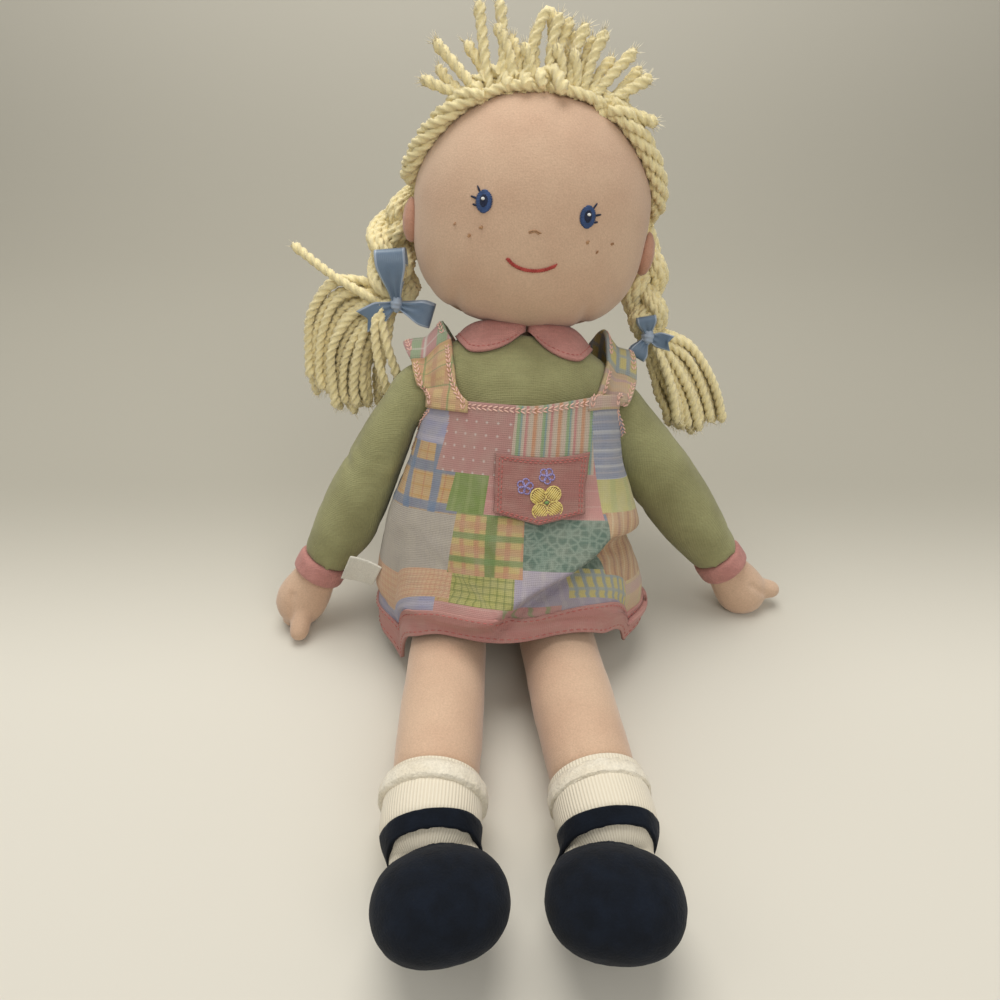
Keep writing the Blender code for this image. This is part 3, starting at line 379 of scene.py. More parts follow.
# Ribbed knit: wales 1.2 mm apart that follow the piece's own rib attribute, with painted shade: the valleys between
# the wales get the darker colour
def ribMaterial(name, colour, shade, pitch):
    made, tree, shader = startMaterial(name, 0.95, 0.3)
    turns = calc(tree, "MULTIPLY", attributeOf(tree, "rib"), 2 * math.pi / pitch)
    wales = ranged(tree, calc(tree, "SINE", turns), -1.0, 0.6)
    height = calc(tree, "MULTIPLY_ADD", cloudy(tree, millimetres(tree), 1.4, 3.0), 0.5, wales)
    # Painted shade: the colour goes to the darker one in the valleys between the wales
    surface(tree, shader, mixed(tree, wales, shade, colour), height, 0.15)
    return made


ribCloth = ribMaterial("ivoryRibKnit", "#E4DBC6", "#DACFB8", 1.2)
# Faded pastel cotton prints, sewn or printed as patches: soft edges and a washed look. The threads are
# coarser than real poplin's, so that they show.
prints, printDepth, printThreads, fade = {}, 0.66, 0.9, "#D9CFBB"


# Printed on the piece's UV map in millimetres. Bands are (axis, pitch, width, shift, colour, strength);
# dots are (pitch, radius, colour); cracks are (cell, colour).
def addPrint(name, base, bands=(), dots=None, cracks=None, wash=0.12):
    made, tree, shader = startMaterial(name + "Cotton", 0.88, 0.12)
    place = addNode(tree, "UVMap", uv_map="cloth").outputs[0]
    split = addNode(tree, "SeparateXYZ", {0: place}).outputs
    colour, ragged = base, cloudy(tree, place, 0.9, 2.0)
    for axis, pitch, width, shift, ink, strength in bands:
        along = calc(tree, "MULTIPLY_ADD", ragged, 0.5, split["XY".index(axis)])
        along = calc(tree, "FLOORED_MODULO", calc(tree, "ADD", along, shift), pitch)
        along = calc(tree, "ABSOLUTE", calc(tree, "SUBTRACT", along, width / 2))
        colour = mixed(tree, ranged(tree, along, width / 2 + 0.5, width / 2 - 0.5, 0.0, strength), colour, ink)
    if dots:
        pitch, radius, ink = dots
        cell = calcVector(tree, "FRACTION", calcVector(tree, "MULTIPLY", place, (1 / pitch,) * 3))
        cell = calcVector(tree, "MULTIPLY", calcVector(tree, "SUBTRACT", cell, (0.5, 0.5, 0)), (1, 1, 0))
        away = addNode(tree, "VectorMath", {0: cell}, operation="LENGTH").outputs["Value"]
        colour = mixed(tree, ranged(tree, away, radius / pitch + 0.06, radius / pitch - 0.06), colour, ink)
    if cracks:
        cell, ink = cracks
        edge = addNode(tree, "TexVoronoi", {"Vector": place, "Scale": 1 / cell}, feature="DISTANCE_TO_EDGE")
        colour = mixed(tree, ranged(tree, edge.outputs["Distance"], 0.22, 0.02, 0.0, 0.45), colour, ink)
    faded = ranged(tree, cloudy(tree, place, 0.11, 4.0), 0.4, 0.75, 0.0, wash * 2)
    height = calc(tree, "MULTIPLY", ragged, 0.3)
    for axis in "XY":
        height = calc(tree, "MULTIPLY_ADD", woven(tree, place, printThreads, axis, Distortion=0.5), 0.3, height)
    fine = ranged(tree, height, 0.2, 0.7, 0.93 * printDepth, 1.05 * printDepth)
    surface(tree, shader, mixed(tree, faded, colour, fade), height, 0.25, fine)
    prints[name] = made


addPrint("pinkDotted", "#CE9C94", dots=(5.6, 0.5, "#EAD9CF"))
addPrint("candyStripe", "#DCC9B4", [
    ("X", 11, 2.2, 0, "#9DB98A", 0.9), ("X", 11, 1.8, 4.0, "#E2A57E", 0.9),
    ("X", 11, 1.3, 7.4, "#DB9390", 0.9), ("X", 11, 0.8, 9.6, "#8FA9B8", 0.8)])
addPrint("greyStripe", "#A9AEBF", [
    ("Y", 6, 1.2, 0, "#D6D6DA", 0.9), ("Y", 6, 0.7, 3.0, "#C9C3C9", 0.8)])
addPrint("lilac", "#B5B3CB", [("Y", 9, 2.5, 1, "#CFC8D6", 0.6)], wash=0.2)
addPrint("bluePlaid", "#D9B684", [
    ("X", 6.5, 0.8, 2, "#CF8A6E", 0.7), ("Y", 5, 0.8, 1, "#D3A25E", 0.7),
    ("X", 19, 5.5, 4, "#7F93AE", 0.85), ("Y", 18, 5.0, 8, "#7F93AE", 0.8)])
addPrint("leafGreen", "#92A562", [("X", 7, 2.0, 0, "#A5B373", 0.6)])
addPrint("straw", "#DAD291", [("X", 12, 4, 2, "#C6CB8D", 0.6)], wash=0.2)
addPrint("stone", "#C6BCAE", [("X", 3, 0.6, 0, "#BBB2AB", 0.5)], wash=0.2)
addPrint("gardenPlaid", "#DCC384", [
    ("X", 7, 2.4, 1, "#D69A7C", 0.7), ("Y", 12.5, 4.0, 9, "#D8A284", 0.55),
    ("X", 28, 5.2, 10, "#7E9A5C", 0.85), ("Y", 12.5, 3.4, 3, "#86A266", 0.8)])
addPrint("tealCrackle", "#73897A", cracks=(3.6, "#B5C4B2"))
addPrint("brownStripe", "#DDB68F", [
    ("X", 7, 1.6, 0, "#C1967E", 0.8), ("X", 7, 1.0, 3.6, "#E9D2A9", 0.9)])
addPrint("peachCheck", "#EBC7A0", [
    ("X", 2.6, 1.1, 0, "#DFA98C", 0.6), ("Y", 2.6, 1.1, 0, "#DFA98C", 0.6)])
addPrint("limeCheck", "#C6C278", [
    ("X", 3.6, 0.7, 0, "#7F8C4E", 0.75), ("Y", 3.6, 0.7, 0, "#7F8C4E", 0.75)])
addPrint("mauve", "#BDB3C2", [("X", 8, 2, 0, "#CEC3C9", 0.6)], wash=0.2)
addPrint("rosePlaid", "#DEA8A0", [
    ("X", 8, 2.2, 0, "#A9B587", 0.8), ("Y", 8, 2.2, 1, "#A9B587", 0.7)])
addPrint("rose", "#DDA49C", [("Y", 7, 0.8, 0, "#E7BDB2", 0.6)])
addPrint("sunCheck", "#EDCB93", [
    ("X", 6.5, 2.4, 1, "#E3A98A", 0.7), ("Y", 6.5, 2.4, 2, "#E6B98E", 0.7),
    ("X", 13, 0.8, 5, "#8DAA72", 0.9), ("Y", 13, 0.8, 6, "#8DAA72", 0.9)])
addPrint("peachMottled", "#E9C9A6", [
    ("X", 13, 4, 2, "#E7D79F", 0.6), ("Y", 17, 5, 4, "#D9B6B8", 0.6)], wash=0.25)
addPrint("mintRose", "#DDA9A4", [
    ("X", 12, 5, 3, "#A9C29C", 0.9), ("X", 12, 1.2, 9, "#F0E6DA", 0.9), ("Y", 9, 1.0, 2, "#F0E6DA", 0.7)])
addPrint("skyPlaid", "#E3D48D", [
    ("X", 5, 2.0, 1, "#9DB0C0", 0.8), ("Y", 8, 2.0, 1, "#AEBBC0", 0.7)])
# One rose cotton in two copies: the darker one, on the pocket and the back hem, is painted shade, and the lighter
# one, on the front hem that faces up, is painted light
addPrint("shadedRose", "#BB837A", [("Y", 5, 1.0, 0, "#C48F85", 0.4)], wash=0.1)
addPrint("litRose", "#DA9C93", [("Y", 5, 1.0, 0, "#E0A89E", 0.4)], wash=0.1)


# Sewing thread: twisted cotton, a faint gloss along the stitch, as (name, colour, shade, roughness)
threads = {}
for name, colour, shade, roughness in (
    ("palePink", "#EBC4B4", "#DDAE9C", 0.6), ("rose", "#C2736B", "#A95C55", 0.6),
    ("navySilk", "#3B5280", "#2D4266", 0.45), ("ink", "#1E2743", "#161B2F", 0.5),
    ("red", "#BC5248", "#96342E", 0.5), ("tanMetallic", "#B98F68", "#8E6847", 0.35),
    ("white", "#F2F2EE", "#DDDCD6", 0.5), ("lilac", "#9F95C4", "#8A80B2", 0.45),
    ("yellow", "#E6D287", "#D4BC69", 0.45), ("green", "#7FA263", "#6C8D52", 0.45)):
    threads[name] = clothMaterial(name + "Thread", colour, shade, weave=0.0, nap=0.6, blotch=3,
                                  roughness=roughness, sheen=0.1, napSize=0.25, depth=0.08)
tagCloth = clothMaterial("whiteWovenLabel", "#D6D2C4", "#C6C1B2", pitch=0.6, weave=0.3, nap=0.2)
print("stage: materials")


# Head: a stuffed ball with fuller cheeks, gathered under the chin
head = {"halfWide": 54, "halfDeep": 48, "halfTall": 54, "cheeks": 2.6,
        "puckers": [(-29.5, -34, -31, -50, 1.9, 3.0), (28.0, -35, 29, -50, 1.9, 3.0),
                    (-9, 35, -8, 42, 1.0, 3.6), (7, 33, 7, 40, 1.0, 3.6),
                    (-14, -43, -15, -54, 0.7, 2.6), (12, -43, 13, -54, 0.7, 2.6),
                    (-38, -22, -42, -36, 0.6, 3.5), (38, -20, 41, -34, 0.6, 3.5)]}


def headPoint(way, grow):
    low = min(1.0, max(0.0, -way.z))
    full = 1.0
    if 0.0 < low < 1.0:
        full = (1 - low ** head["cheeks"]) ** (1 / head["cheeks"]) / math.sqrt(1 - low**2)
    flat = 1 - 0.05 * smoothStep(0.55, 1.0, low)
    return Vector((way.x * full * (head["halfWide"] + grow), way.y * full * (head["halfDeep"] + grow),
                   way.z * flat * (head["halfTall"] + grow))) * mm


def headPucker(point):
    local = headLocal(point)
    if local.y > 0:
        return 0
    depth = 0
    for x1, z1, x2, z2, deep, wide in head["puckers"]:
        away, along = nearSegment(Vector((local.x, local.z, 0)), Vector((x1, z1, 0)), Vector((x2, z2, 0)))
        depth += deep * math.exp(-((away / wide) ** 2)) * (0.35 + 0.65 * along)
    return depth + 0.25 * noise.noise(local / 14)


def buildHead():
    bm = bmesh.new()
    bmesh.ops.create_icosphere(bm, subdivisions=7, radius=1.0)
    for vertex in bm.verts:
        vertex.co = headFrame @ headPoint(vertex.co, 0)
    piece = makePiece("headSkin", bm, skinCloth)
    pressed(piece, headPucker)
    return finish(piece, "head", "skin", "head")


headSkin = buildHead()
headTree = treeOf(headSkin)


def onHead(x, z, lift=0.0):
    start = headFrame @ Vector((x * mm, -0.2, z * mm))
    place, normal = headTree.ray_cast(start, headFrame.to_3x3() @ Vector((0, 1, 0)))[:2]
    if place is None:
        place, normal = headTree.find_nearest(headFrame @ Vector((x * mm, -20 * mm, z * mm)))[:2]
    return place + normal * lift * mm, normal


# The rest of the stuffed pieces but the shoes, each as (CAD node, voxel mm, smoothing passes, material,
# body, slot, fill). Those of a limb have its side added to node and body.
bodyPieces = [
    ("neck", 1.6, 8, skinCloth, "neck", "skin", 0.9),
    ("body_chest", 2.0, 14, shirtCloth, "torso", "shirt", 0.85),
    ("body_seat", 2.2, 14, skinCloth, "torso", "skin", 0.85),
    ("ear_left", 0.8, 6, earCloth, "head", "ear", 0.6),
    ("ear_right", 0.8, 6, earCloth, "head", "ear", 0.6),
]
limbPieces = [
    ("arm_", 2.6, 10, shirtCloth, "arm_", "shirt", 0.8),
    ("cuff_", 1.0, 8, pinkCloth, "arm_", "pink", 0.7),
    ("hand_", 1.1, 10, skinCloth, "arm_", "skin", 0.85),
    ("leg_", 2.6, 12, skinCloth, "leg_", "skin", 0.85),
    ("sock_", 1.3, 8, ribCloth, "leg_", "sock", 0.9),
    ("sock_cuff_", 1.0, 8, terryCloth, "leg_", "sock", 0.6),
]
armTurns = {"left": (27, 6.5), "right": (42, 12)}
legYaws = {"left": -1, "right": 8}


def armFrame(side):
    splay, back = armTurns[side]
    turn = Matrix.Rotation(-sides[side] * math.radians(splay), 4, "Y") @ Matrix.Rotation(math.radians(back), 4, "X")
    return Matrix.Translation(jointPlace("shoulder_" + side)) @ torsoFrame.to_3x3().to_4x4() @ turn


def legFrame(side):
    turn = Matrix.Rotation(math.radians(legYaws[side]), 4, "Z") @ Matrix.Rotation(math.radians(-0.6), 4, "X")
    return Matrix.Translation(jointPlace("hip_" + side)) @ turn


# Creases in a limb, as (along mm, turn degrees, half turn, depth mm, width mm) in its own frame
armCreases = {"left": [(44, 200, 50, 1.3, 3.0), (52, 150, 40, 0.9, 3.0), (36, 215, 45, 0.8, 3.5),
                       (88, 0, 180, 0.5, 4.0)],
              "right": [(50, 160, 50, 1.0, 3.2), (42, 130, 40, 0.6, 3.2), (88, 0, 180, 0.5, 4.0)]}
legCreases = [(8, 90, 60, 0.8, 4.0), (62, 80, 45, 0.5, 5.0), (88, 90, 80, 0.5, 4.0)]


def creaseDepth(local, creases, seed):
    along, angle = -local.z / mm, math.degrees(math.atan2(local.y, local.x)) % 360
    depth = 0.35 * noise.noise(Vector((along / 17, angle / 70, seed)))
    for at, turn, half, deep, wide in creases:
        off = abs((angle - turn + 180) % 360 - 180)
        if off < half:
            wave = at + 2.0 * math.sin(math.radians(off * 1.5))
            depth += deep * math.exp(-(((along - wave) / wide) ** 2)) * math.cos(math.pi / 2 * off / half)
    return depth


def shapeArm(piece, side):
    stuffed(piece, 0.05, 1.6)
    modified(piece, "SUBSURF", levels=1, render_levels=1)
    inverse = armFrame(side).inverted()
    pressed(piece, lambda p: creaseDepth(inverse @ p, armCreases[side], sides[side]))


def shapeLeg(piece, side):
    stuffed(piece, 0.03, 1.0)
    modified(piece, "SUBSURF", levels=1, render_levels=1)
    inverse = (legFrame(side) @ Matrix.Rotation(math.radians(90), 4, "X")).inverted()
    pressed(piece, lambda p: creaseDepth(inverse @ p, legCreases, 5 + sides[side]))


# The seam between the thumb and the palm, from and to (across, along) in the arm's frame
thumb = {"turn": {"left": 125, "right": 0}, "from": (5.0, 121, 0), "to": (8.5, 132, 0), "deep": 0.9, "wide": 1.6}


def shapeHand(piece, side):
    inverse = armFrame(side).inverted()
    turn = math.radians(thumb["turn"][side])
    way = Vector((sides[side] * math.cos(turn), -math.sin(turn), 0))

    def depth(point):
        local = (inverse @ point) / mm
        seam = Vector((local.dot(way), -local.z, 0))
        away = nearSegment(seam, Vector(thumb["from"]), Vector(thumb["to"]))[0]
        return thumb["deep"] * math.exp(-((away / thumb["wide"]) ** 2))
    pressed(piece, depth)


# An ear of the photograph's height, lower than the CAD one
def shapeEar(piece, side):
    inverse = headFrame.inverted()
    top = max((inverse @ vertex.co).z for vertex in piece.data.vertices)
    for vertex in piece.data.vertices:
        local = inverse @ vertex.co
        local.z = top + (local.z - top) * 0.78 + (2.5 if side == "left" else -1.0) * mm
        vertex.co = headFrame @ local


# The foot in mm along the leg: its ankle, the sock's fullness there, and the short turned-down cuff
foot = {"ankle": 118, "tube": 19.2, "cuffKept": 104, "cuffShrunk": 0.56, "turn": 12, "rise": 35,
        "strapLow": -6.0, "strapArch": 19.5, "strapWide": 9.0, "strapThick": 1.9, "strapHalfTurn": 84,
        "strapTilt": {"left": -1.7, "right": 3.8}, "slim": {"left": 0.2, "right": 1.4}, "ribRadius": 17.0}
# The shoe's round form is cast from far off to its middle; rays that go past low or meet it at a slant
# are in its opening, which starts hollow mm from the middle and is let in after it has been evened out
shoe = {"middle": (0, -24, -11), "from": 90, "low": 85, "slant": 0.12, "hollow": 20, "letIn": 0.4,
        "rounds": 60, "openOnly": 34, "ruffle": 0.15}


def shapeSockCuff(piece, side):
    frameLeg = legFrame(side)
    inverse = frameLeg.inverted()
    for vertex in piece.data.vertices:
        local = inverse @ vertex.co
        past = max(0.0, -local.y - foot["cuffKept"] * mm)
        local.y += past * foot["cuffShrunk"]
        vertex.co = inverse.inverted() @ local

    def roll(point):
        edge = smoothStep(106.5 * mm, 109.5 * mm, -(inverse @ point).y)
        rough = 0.3 * noise.noise(point / (5 * mm))
        return foot["slim"][side] - rough - edge * 0.35 * noise.noise(point / (1.6 * mm))
    pressed(piece, roll)


def shapeSock(piece, side):
    frameLeg = legFrame(side)
    inverse = frameLeg.inverted()
    for vertex in piece.data.vertices:
        local = inverse @ vertex.co / mm
        axis = Vector((0, -min(foot["ankle"], -local.y), 0))
        out = local - axis
        if 0 < out.length < foot["tube"] and -local.y < foot["ankle"] + 26:
            full = foot["tube"] - 0.9 * smoothStep(0, 14, -local.y - foot["ankle"] + 4)
            local = axis + out.normalized() * max(out.length, full)
        vertex.co = frameLeg @ (local * mm)
    toe = foot["ankle"] + 12
    pressed(piece, lambda p: 3.0 * smoothStep(toe, toe + 16, -(inverse @ p / mm).y))
    around = [(inverse @ vertex.co) / mm for vertex in piece.data.vertices]
    setAttribute(piece.data, "rib", [math.atan2(local.x, local.z) * foot["ribRadius"] for local in around])


def footFrame(side):
    turn = Matrix.Rotation(-sides[side] * math.radians(foot["turn"]), 4, "Z")
    rise = Matrix.Rotation(-math.radians(foot["rise"]), 4, "X")
    return legFrame(side) @ Matrix.Translation((0, -foot["ankle"] * mm, 0)) @ turn @ rise


# How high the shoe's strap runs round the foot
def strapHeight(side, turn):
    return foot["strapLow"] + foot["strapArch"] * math.cos(turn) + foot["strapTilt"][side] * math.sin(turn)


# Shoe: a round skin cast onto the CAD shoe from outside, evened out, and let in where the sock comes out
def buildShoe(side):
    tree, matrix = treeOf(nodes["shoe_" + side]), footFrame(side)
    centre = matrix @ (Vector(shoe["middle"]) * mm)
    bm = bmesh.new()
    bmesh.ops.create_icosphere(bm, subdivisions=6, radius=1.0)
    ways = [(matrix.to_3x3() @ vertex.co).normalized() for vertex in bm.verts]
    beside = [[edge.other_vert(vertex).index for edge in vertex.link_edges] for vertex in bm.verts]
    far, isOpen = [], []
    for way in ways:
        place, normal, _, gone = tree.ray_cast(centre + way * shoe["from"] * mm, -way)
        isOpen.append(place is None or gone > shoe["low"] * mm or normal.dot(way) < shoe["slant"])
        far.append(shoe["hollow"] * mm if isOpen[-1] else shoe["from"] * mm - gone)
    for step in range(shoe["rounds"]):
        far = [sum(far[j] for j in beside[k]) / len(beside[k]) if isOpen[k] or step > shoe["openOnly"] else value
               for k, value in enumerate(far)]
    for vertex, way, value, hole in zip(bm.verts, ways, far, isOpen):
        ruffle = shoe["ruffle"] * noise.noise(way * 9)
        vertex.co = centre + way * (value * (shoe["letIn"] if hole else 1) + ruffle * mm)
    piece = makePiece("shoe" + side + "Soft", bm, feltCloth)
    print("soft piece:", piece.name, len(piece.data.polygons))
    return finish(piece, "leg_" + side, "felt", "shoe_" + side)


shapes = {"arm": shapeArm, "hand": shapeHand, "leg": shapeLeg, "sock": shapeSock, "sock_cuff": shapeSockCuff,
          "ear": shapeEar}


def buildSoftPiece(node, voxel, passes, cloth, body, slot, fill):
    piece = softCopy(node.replace("_", "") + "Soft", node, voxel, passes, cloth)
    kind, _, side = node.rpartition("_")
    if kind in shapes:
        shapes[kind](piece, side)
    finish(piece, body, slot, node)
    print("soft piece:", piece.name, len(piece.data.polygons))


def neighbours(k, last):
    return [max(0, min(last, k + step)) for step in (-1, 0, 1)]


# The shoe's strap: a felt band that arches over the instep from one side of the shoe to the other
def buildShoeStrap(side):
    trees = [treeOf(bpy.data.objects[part + side + "Soft"]) for part in ("sock", "shoe")]
    matrix = footFrame(side)
    turns, bands, start = 60, 8, 60

    def sewn(down):
        return smoothStep(0.24, 0.46, abs(down - 0.5))

    def reach(across, down):
        turn = math.radians(foot["strapHalfTurn"] * (2 * down - 1))
        way = Vector((19 * math.sin(turn), -17.5 * math.cos(turn) - 1.0,
                      strapHeight(side, turn) + foot["strapWide"] * (across - 0.5 - 0.7 * sewn(down) * (1 - across))))
        way = (matrix.to_3x3() @ way).normalized()
        hits = [tree.ray_cast(matrix.translation + way * start * mm, -way) for tree in trees]
        return way, max([0.0] + [start * mm - hit[3] for hit in hits if hit[0]])

    rows = [[reach(i / bands, j / turns) for i in range(bands + 1)] for j in range(turns + 1)]
    fars = [[cell[1] for cell in row] for row in rows]
    for _ in range(6):
        fars = [[max(fars[j][i], sum(fars[b][a] for b in neighbours(j, turns) for a in neighbours(i, bands)) / 9)
                 for i in range(bands + 1)] for j in range(turns + 1)]

    def place(across, down):
        i, j = round(across * bands), round(down * turns)
        edge = 0.25 * noise.noise(Vector((i, j / 3, sides[side])))
        high = foot["strapThick"] + edge - 1.4 * sewn(down)
        return matrix.translation + rows[j][i][0] * (fars[j][i] + high * mm), (i, j, 0)

    piece = sheetPiece("shoestrap" + side + "Soft", bands, turns, place, foot["strapThick"], [feltCloth])
    return finish(piece, "leg_" + side, "felt", "shoe_strap_" + side)


for row in bodyPieces:
    buildSoftPiece(*row)
for side in sides:
    for node, voxel, passes, cloth, body, slot, fill in limbPieces:
        buildSoftPiece(node + side, voxel, passes, cloth, body + side, slot, fill)
    buildShoe(side)
for side in sides:
    buildShoeStrap(side)
print("stage: stuffed pieces")


# Dress: the same lines as the CAD panels, in torso millimetres, with finer cloth
torso = {"height": 136, "wide": 112, "deep": 80, "roundness": 2.3,
         "shares": [(-0.26, 0.32, 0.22, 0.28), (-0.12, 0.43, 0.38, 0.46), (0.00, 0.475, 0.46, 0.52),
                    (0.12, 0.495, 0.49, 0.53), (0.27, 0.495, 0.49, 0.50), (0.42, 0.470, 0.475, 0.465),
                    (0.56, 0.415, 0.450, 0.43), (0.68, 0.380, 0.430, 0.40), (0.78, 0.380, 0.415, 0.395),
                    (0.87, 0.385, 0.380, 0.37), (0.92, 0.365, 0.325, 0.33), (0.96, 0.305, 0.265, 0.28),
                    (0.99, 0.215, 0.195, 0.22)]}
dress = {"bibTop": 104, "armhole": 88, "skirtFrom": 62, "bulge": 7.5, "hemWidth": 120, "hemFront": 72,
         "hemBack": 46, "hemBand": 13, "hemLift": 41.5, "thighClear": 4.2, "dropShare": 1.9,
         "riseShare": 0.2, "foldDepth": 3, "folds": 10, "roundShare": 0.8, "bibAngle": 65, "sideAngle": 89.5,
         "cloth": 1.6, "cover": 0.6, "armRoot": 14.5, "jointGap": 0.8, "legDiameter": 35.5, "hipSpread": 48,
         "ridge": [(-90, 90), (-64, 92), (-48, 98), (-23, 108), (-10, 108), (-2, 106), (1, 98), (8, 88),
                   (20, 77.6), (30, 68), (41, 57.4), (60, 55), (83, 54), (90, 54)],
         "ridgeHigh": [(-90, 1.2), (-50, 2.2), (-20, 2.8), (-2, 6.0), (15, 8.5), (45, 9.0), (75, 6.0), (90, 3.0)]}


bibFall, dressLong = dress["bibTop"] - dress["skirtFrom"], dress["bibTop"] + dress["hemBand"]
bibShare, clothGrow = bibFall / dressLong, dress["cover"] + dress["cloth"]


# The way out from the middle of the body at an angle from its front
def outWay(angle, up=0):
    return Vector((math.sin(angle), -math.cos(angle), up))


def oval(angle):
    across, ahead = math.sin(angle), math.cos(angle)
    power = 2 / torso["roundness"]
    return math.copysign(abs(across) ** power, across), math.copysign(abs(ahead) ** power, ahead)


def torsoPoint(height, grow, angle):
    wide, front, back = eased(torso["shares"], height / torso["height"])
    across, ahead = oval(angle)
    reach = torso["deep"] * (front if ahead > 0 else back) + grow
    return Vector(((torso["wide"] * wide + grow) * across, -reach * ahead, height))


def hemPoint(angle):
    across, ahead = oval(angle)
    reach = dress["hemFront"] if ahead > 0 else dress["hemBack"]
    middle = -(pose["hipSetback"] - pose["hipHeight"])
    x = dress["hemWidth"] / 2 * across
    y = middle - (reach + middle if ahead > 0 else reach - middle) * ahead
    leg = dress["legDiameter"] / 2 + dress["thighClear"] + dress["cloth"]
    side = "left" if x < 0 else "right"
    thigh = sides[side] * dress["hipSpread"] / 2 - math.tan(math.radians(legYaws[side])) * (pose["hipSetback"] + y)
    beside = max(0.0, sides[side] * (x - thigh))
    drop = leg - math.sqrt(max(0.0, leg**2 - min(beside, leg) ** 2))
    lifted = dress["cloth"] + 0.5
    if ahead > dress["riseShare"] and beside < leg:
        lifted = max(lifted, dress["hemLift"] - dress["dropShare"] * drop)
    return toTorso @ (Vector((x, y, lifted)) * mm) / mm


def linear(table, value):
    for (a, low), (b, high) in zip(table, table[1:]):
        if value <= b:
            return low + (high - low) * max(0.0, (value - a) / (b - a))
    return table[-1][1]


# drop is in mm from the neckline; the front's cloth folds over itself at the ridge below the belly
def dressPoint(angle, drop, front):
    share = drop / dressLong
    if share <= bibShare:
        point = torsoPoint(dress["bibTop"] - bibFall * share / bibShare, clothGrow, angle)
    else:
        t = (share - bibShare) / (1 - bibShare)
        point = torsoPoint(dress["skirtFrom"], clothGrow, angle) * (1 - t) ** 2
        point += torsoPoint(dress["skirtFrom"] / 2, clothGrow + dress["bulge"], angle) * 2 * t * (1 - t)
        point += hemPoint(angle) * t**2
        ripple = dress["foldDepth"] * t**2 * (0.5 + 0.5 * math.cos(dress["folds"] * angle))
        point += outWay(angle) * ripple
    out = outWay(angle, 0.15).normalized()
    degrees = math.degrees(angle)
    lift = 0.5 * noise.noise(Vector((degrees / 22, drop / 16, 3.1 if front else 7.7)))
    lift += 0.35 * noise.noise(Vector((degrees / 9, drop / 7, 9.4))) * smoothStep(8, 30, drop)
    if front:
        ridge, high = linear(dress["ridge"], degrees), linear(dress["ridgeHigh"], degrees)
        away = drop - ridge
        lift += high * math.exp(-((away / (3.0 if away > 0 else 15.0)) ** 2))
        lift -= 0.35 * high * math.exp(-(((away - 7) / 4.0) ** 2))
    point += out * lift * smoothStep(0, 10, drop)
    if front:
        point += bibShift(point.x, drop)
    for side in sides:
        centre = toTorso @ jointPlace("shoulder_" + side) / mm
        away = point - centre
        least = dress["armRoot"] + dress["jointGap"] + dress["cloth"] * 0.6
        if away.length < least:
            point = centre + away.normalized() * least
    return point + flared(point, drop)


flare = {"out": 7.0, "cornerFrom": {"left": 36, "right": 41}, "cornerTo": 54,
         "cornerOut": {"left": 0, "right": 3.0}, "cornerLift": {"left": 10.0, "right": 17.0}}


# The stiff skirt stands out over the right thigh, and its front corners lift off the floor
def flared(point, drop):
    side = "right" if point.x > 0 else "left"
    beside = smoothStep(22, 55, point.x) * smoothStep(58, 90, drop)
    ahead = smoothStep(0.004, -0.026, inTorso(point).y)
    corner = smoothStep(flare["cornerFrom"][side], flare["cornerTo"], abs(point.x))
    corner = corner * smoothStep(96, 112, drop) * ahead
    lift = toTorso.to_3x3() @ Vector((0, 0, flare["cornerLift"][side] * corner))
    return Vector((flare["out"] * beside + flare["cornerOut"][side] * corner, 0, 0)) + lift


# The bib is pulled up and outward by the right strap
def bibShift(x, drop):
    outward = smoothStep(6, 40, x) * smoothStep(62, 30, drop)
    return Vector((5.5 * outward, 0, 7.0 * smoothStep(2, 38, x) * smoothStep(24, 0, drop)))


def sideLimit(height):
    share = smoothStep(0, 1, (height - dress["armhole"]) / (dress["armRoot"] * dress["roundShare"]))
    return dress["sideAngle"] + (dress["bibAngle"] - dress["sideAngle"]) * share


# One patch each as (print, first angle, last angle, first drop, last drop)
frontPatches = [
    ("lilac", -90, -40, 0, 20), ("pinkDotted", -40, -1, 0, 31), ("candyStripe", -1, 38, 0, 28),
    ("greyStripe", 38, 90, 0, 30), ("bluePlaid", -90, -28, 20, 51), ("leafGreen", -28, -9, 31, 49),
    ("rose", -9, 38, 28, 49), ("straw", 38, 90, 30, 45), ("stone", -90, -22, 51, 80),
    ("gardenPlaid", -22, 5, 49, 81), ("tealCrackle", 5, 39, 49, 76), ("brownStripe", 39, 90, 45, 79),
    ("peachCheck", -90, -19, 80, 95), ("limeCheck", -19, 2, 81, 97), ("mauve", 2, 24, 76, 97),
    ("skyPlaid", 24, 52, 76, 93), ("peachMottled", 52, 90, 79, 97), ("lilac", -90, -25, 95, 110),
    ("rose", -25, -1, 97, 110), ("rosePlaid", -1, 21, 97, 110), ("mauve", 21, 48, 93, 110),
    ("straw", 48, 90, 93, 110),
]
backPatches = [
    ("candyStripe", -90, -48, 0, 26), ("mauve", -48, -12, 0, 26), ("peachCheck", -12, 22, 0, 26),
    ("tealCrackle", 22, 55, 0, 26), ("rose", 55, 90, 0, 26), ("pinkDotted", -90, -40, 26, 52),
    ("limeCheck", -40, -5, 26, 52), ("bluePlaid", -5, 30, 26, 52), ("stone", 30, 90, 26, 52),
    ("skyPlaid", -90, -52, 52, 78), ("rosePlaid", -52, -18, 52, 78), ("straw", -18, 20, 52, 78),
    ("gardenPlaid", 20, 58, 52, 78), ("lilac", 58, 90, 52, 78), ("tealCrackle", -90, -45, 78, 110),
    ("sunCheck", -45, -10, 78, 110), ("leafGreen", -10, 24, 78, 110), ("pinkDotted", 24, 60, 78, 110),
    ("greyStripe", 60, 90, 78, 110),
]


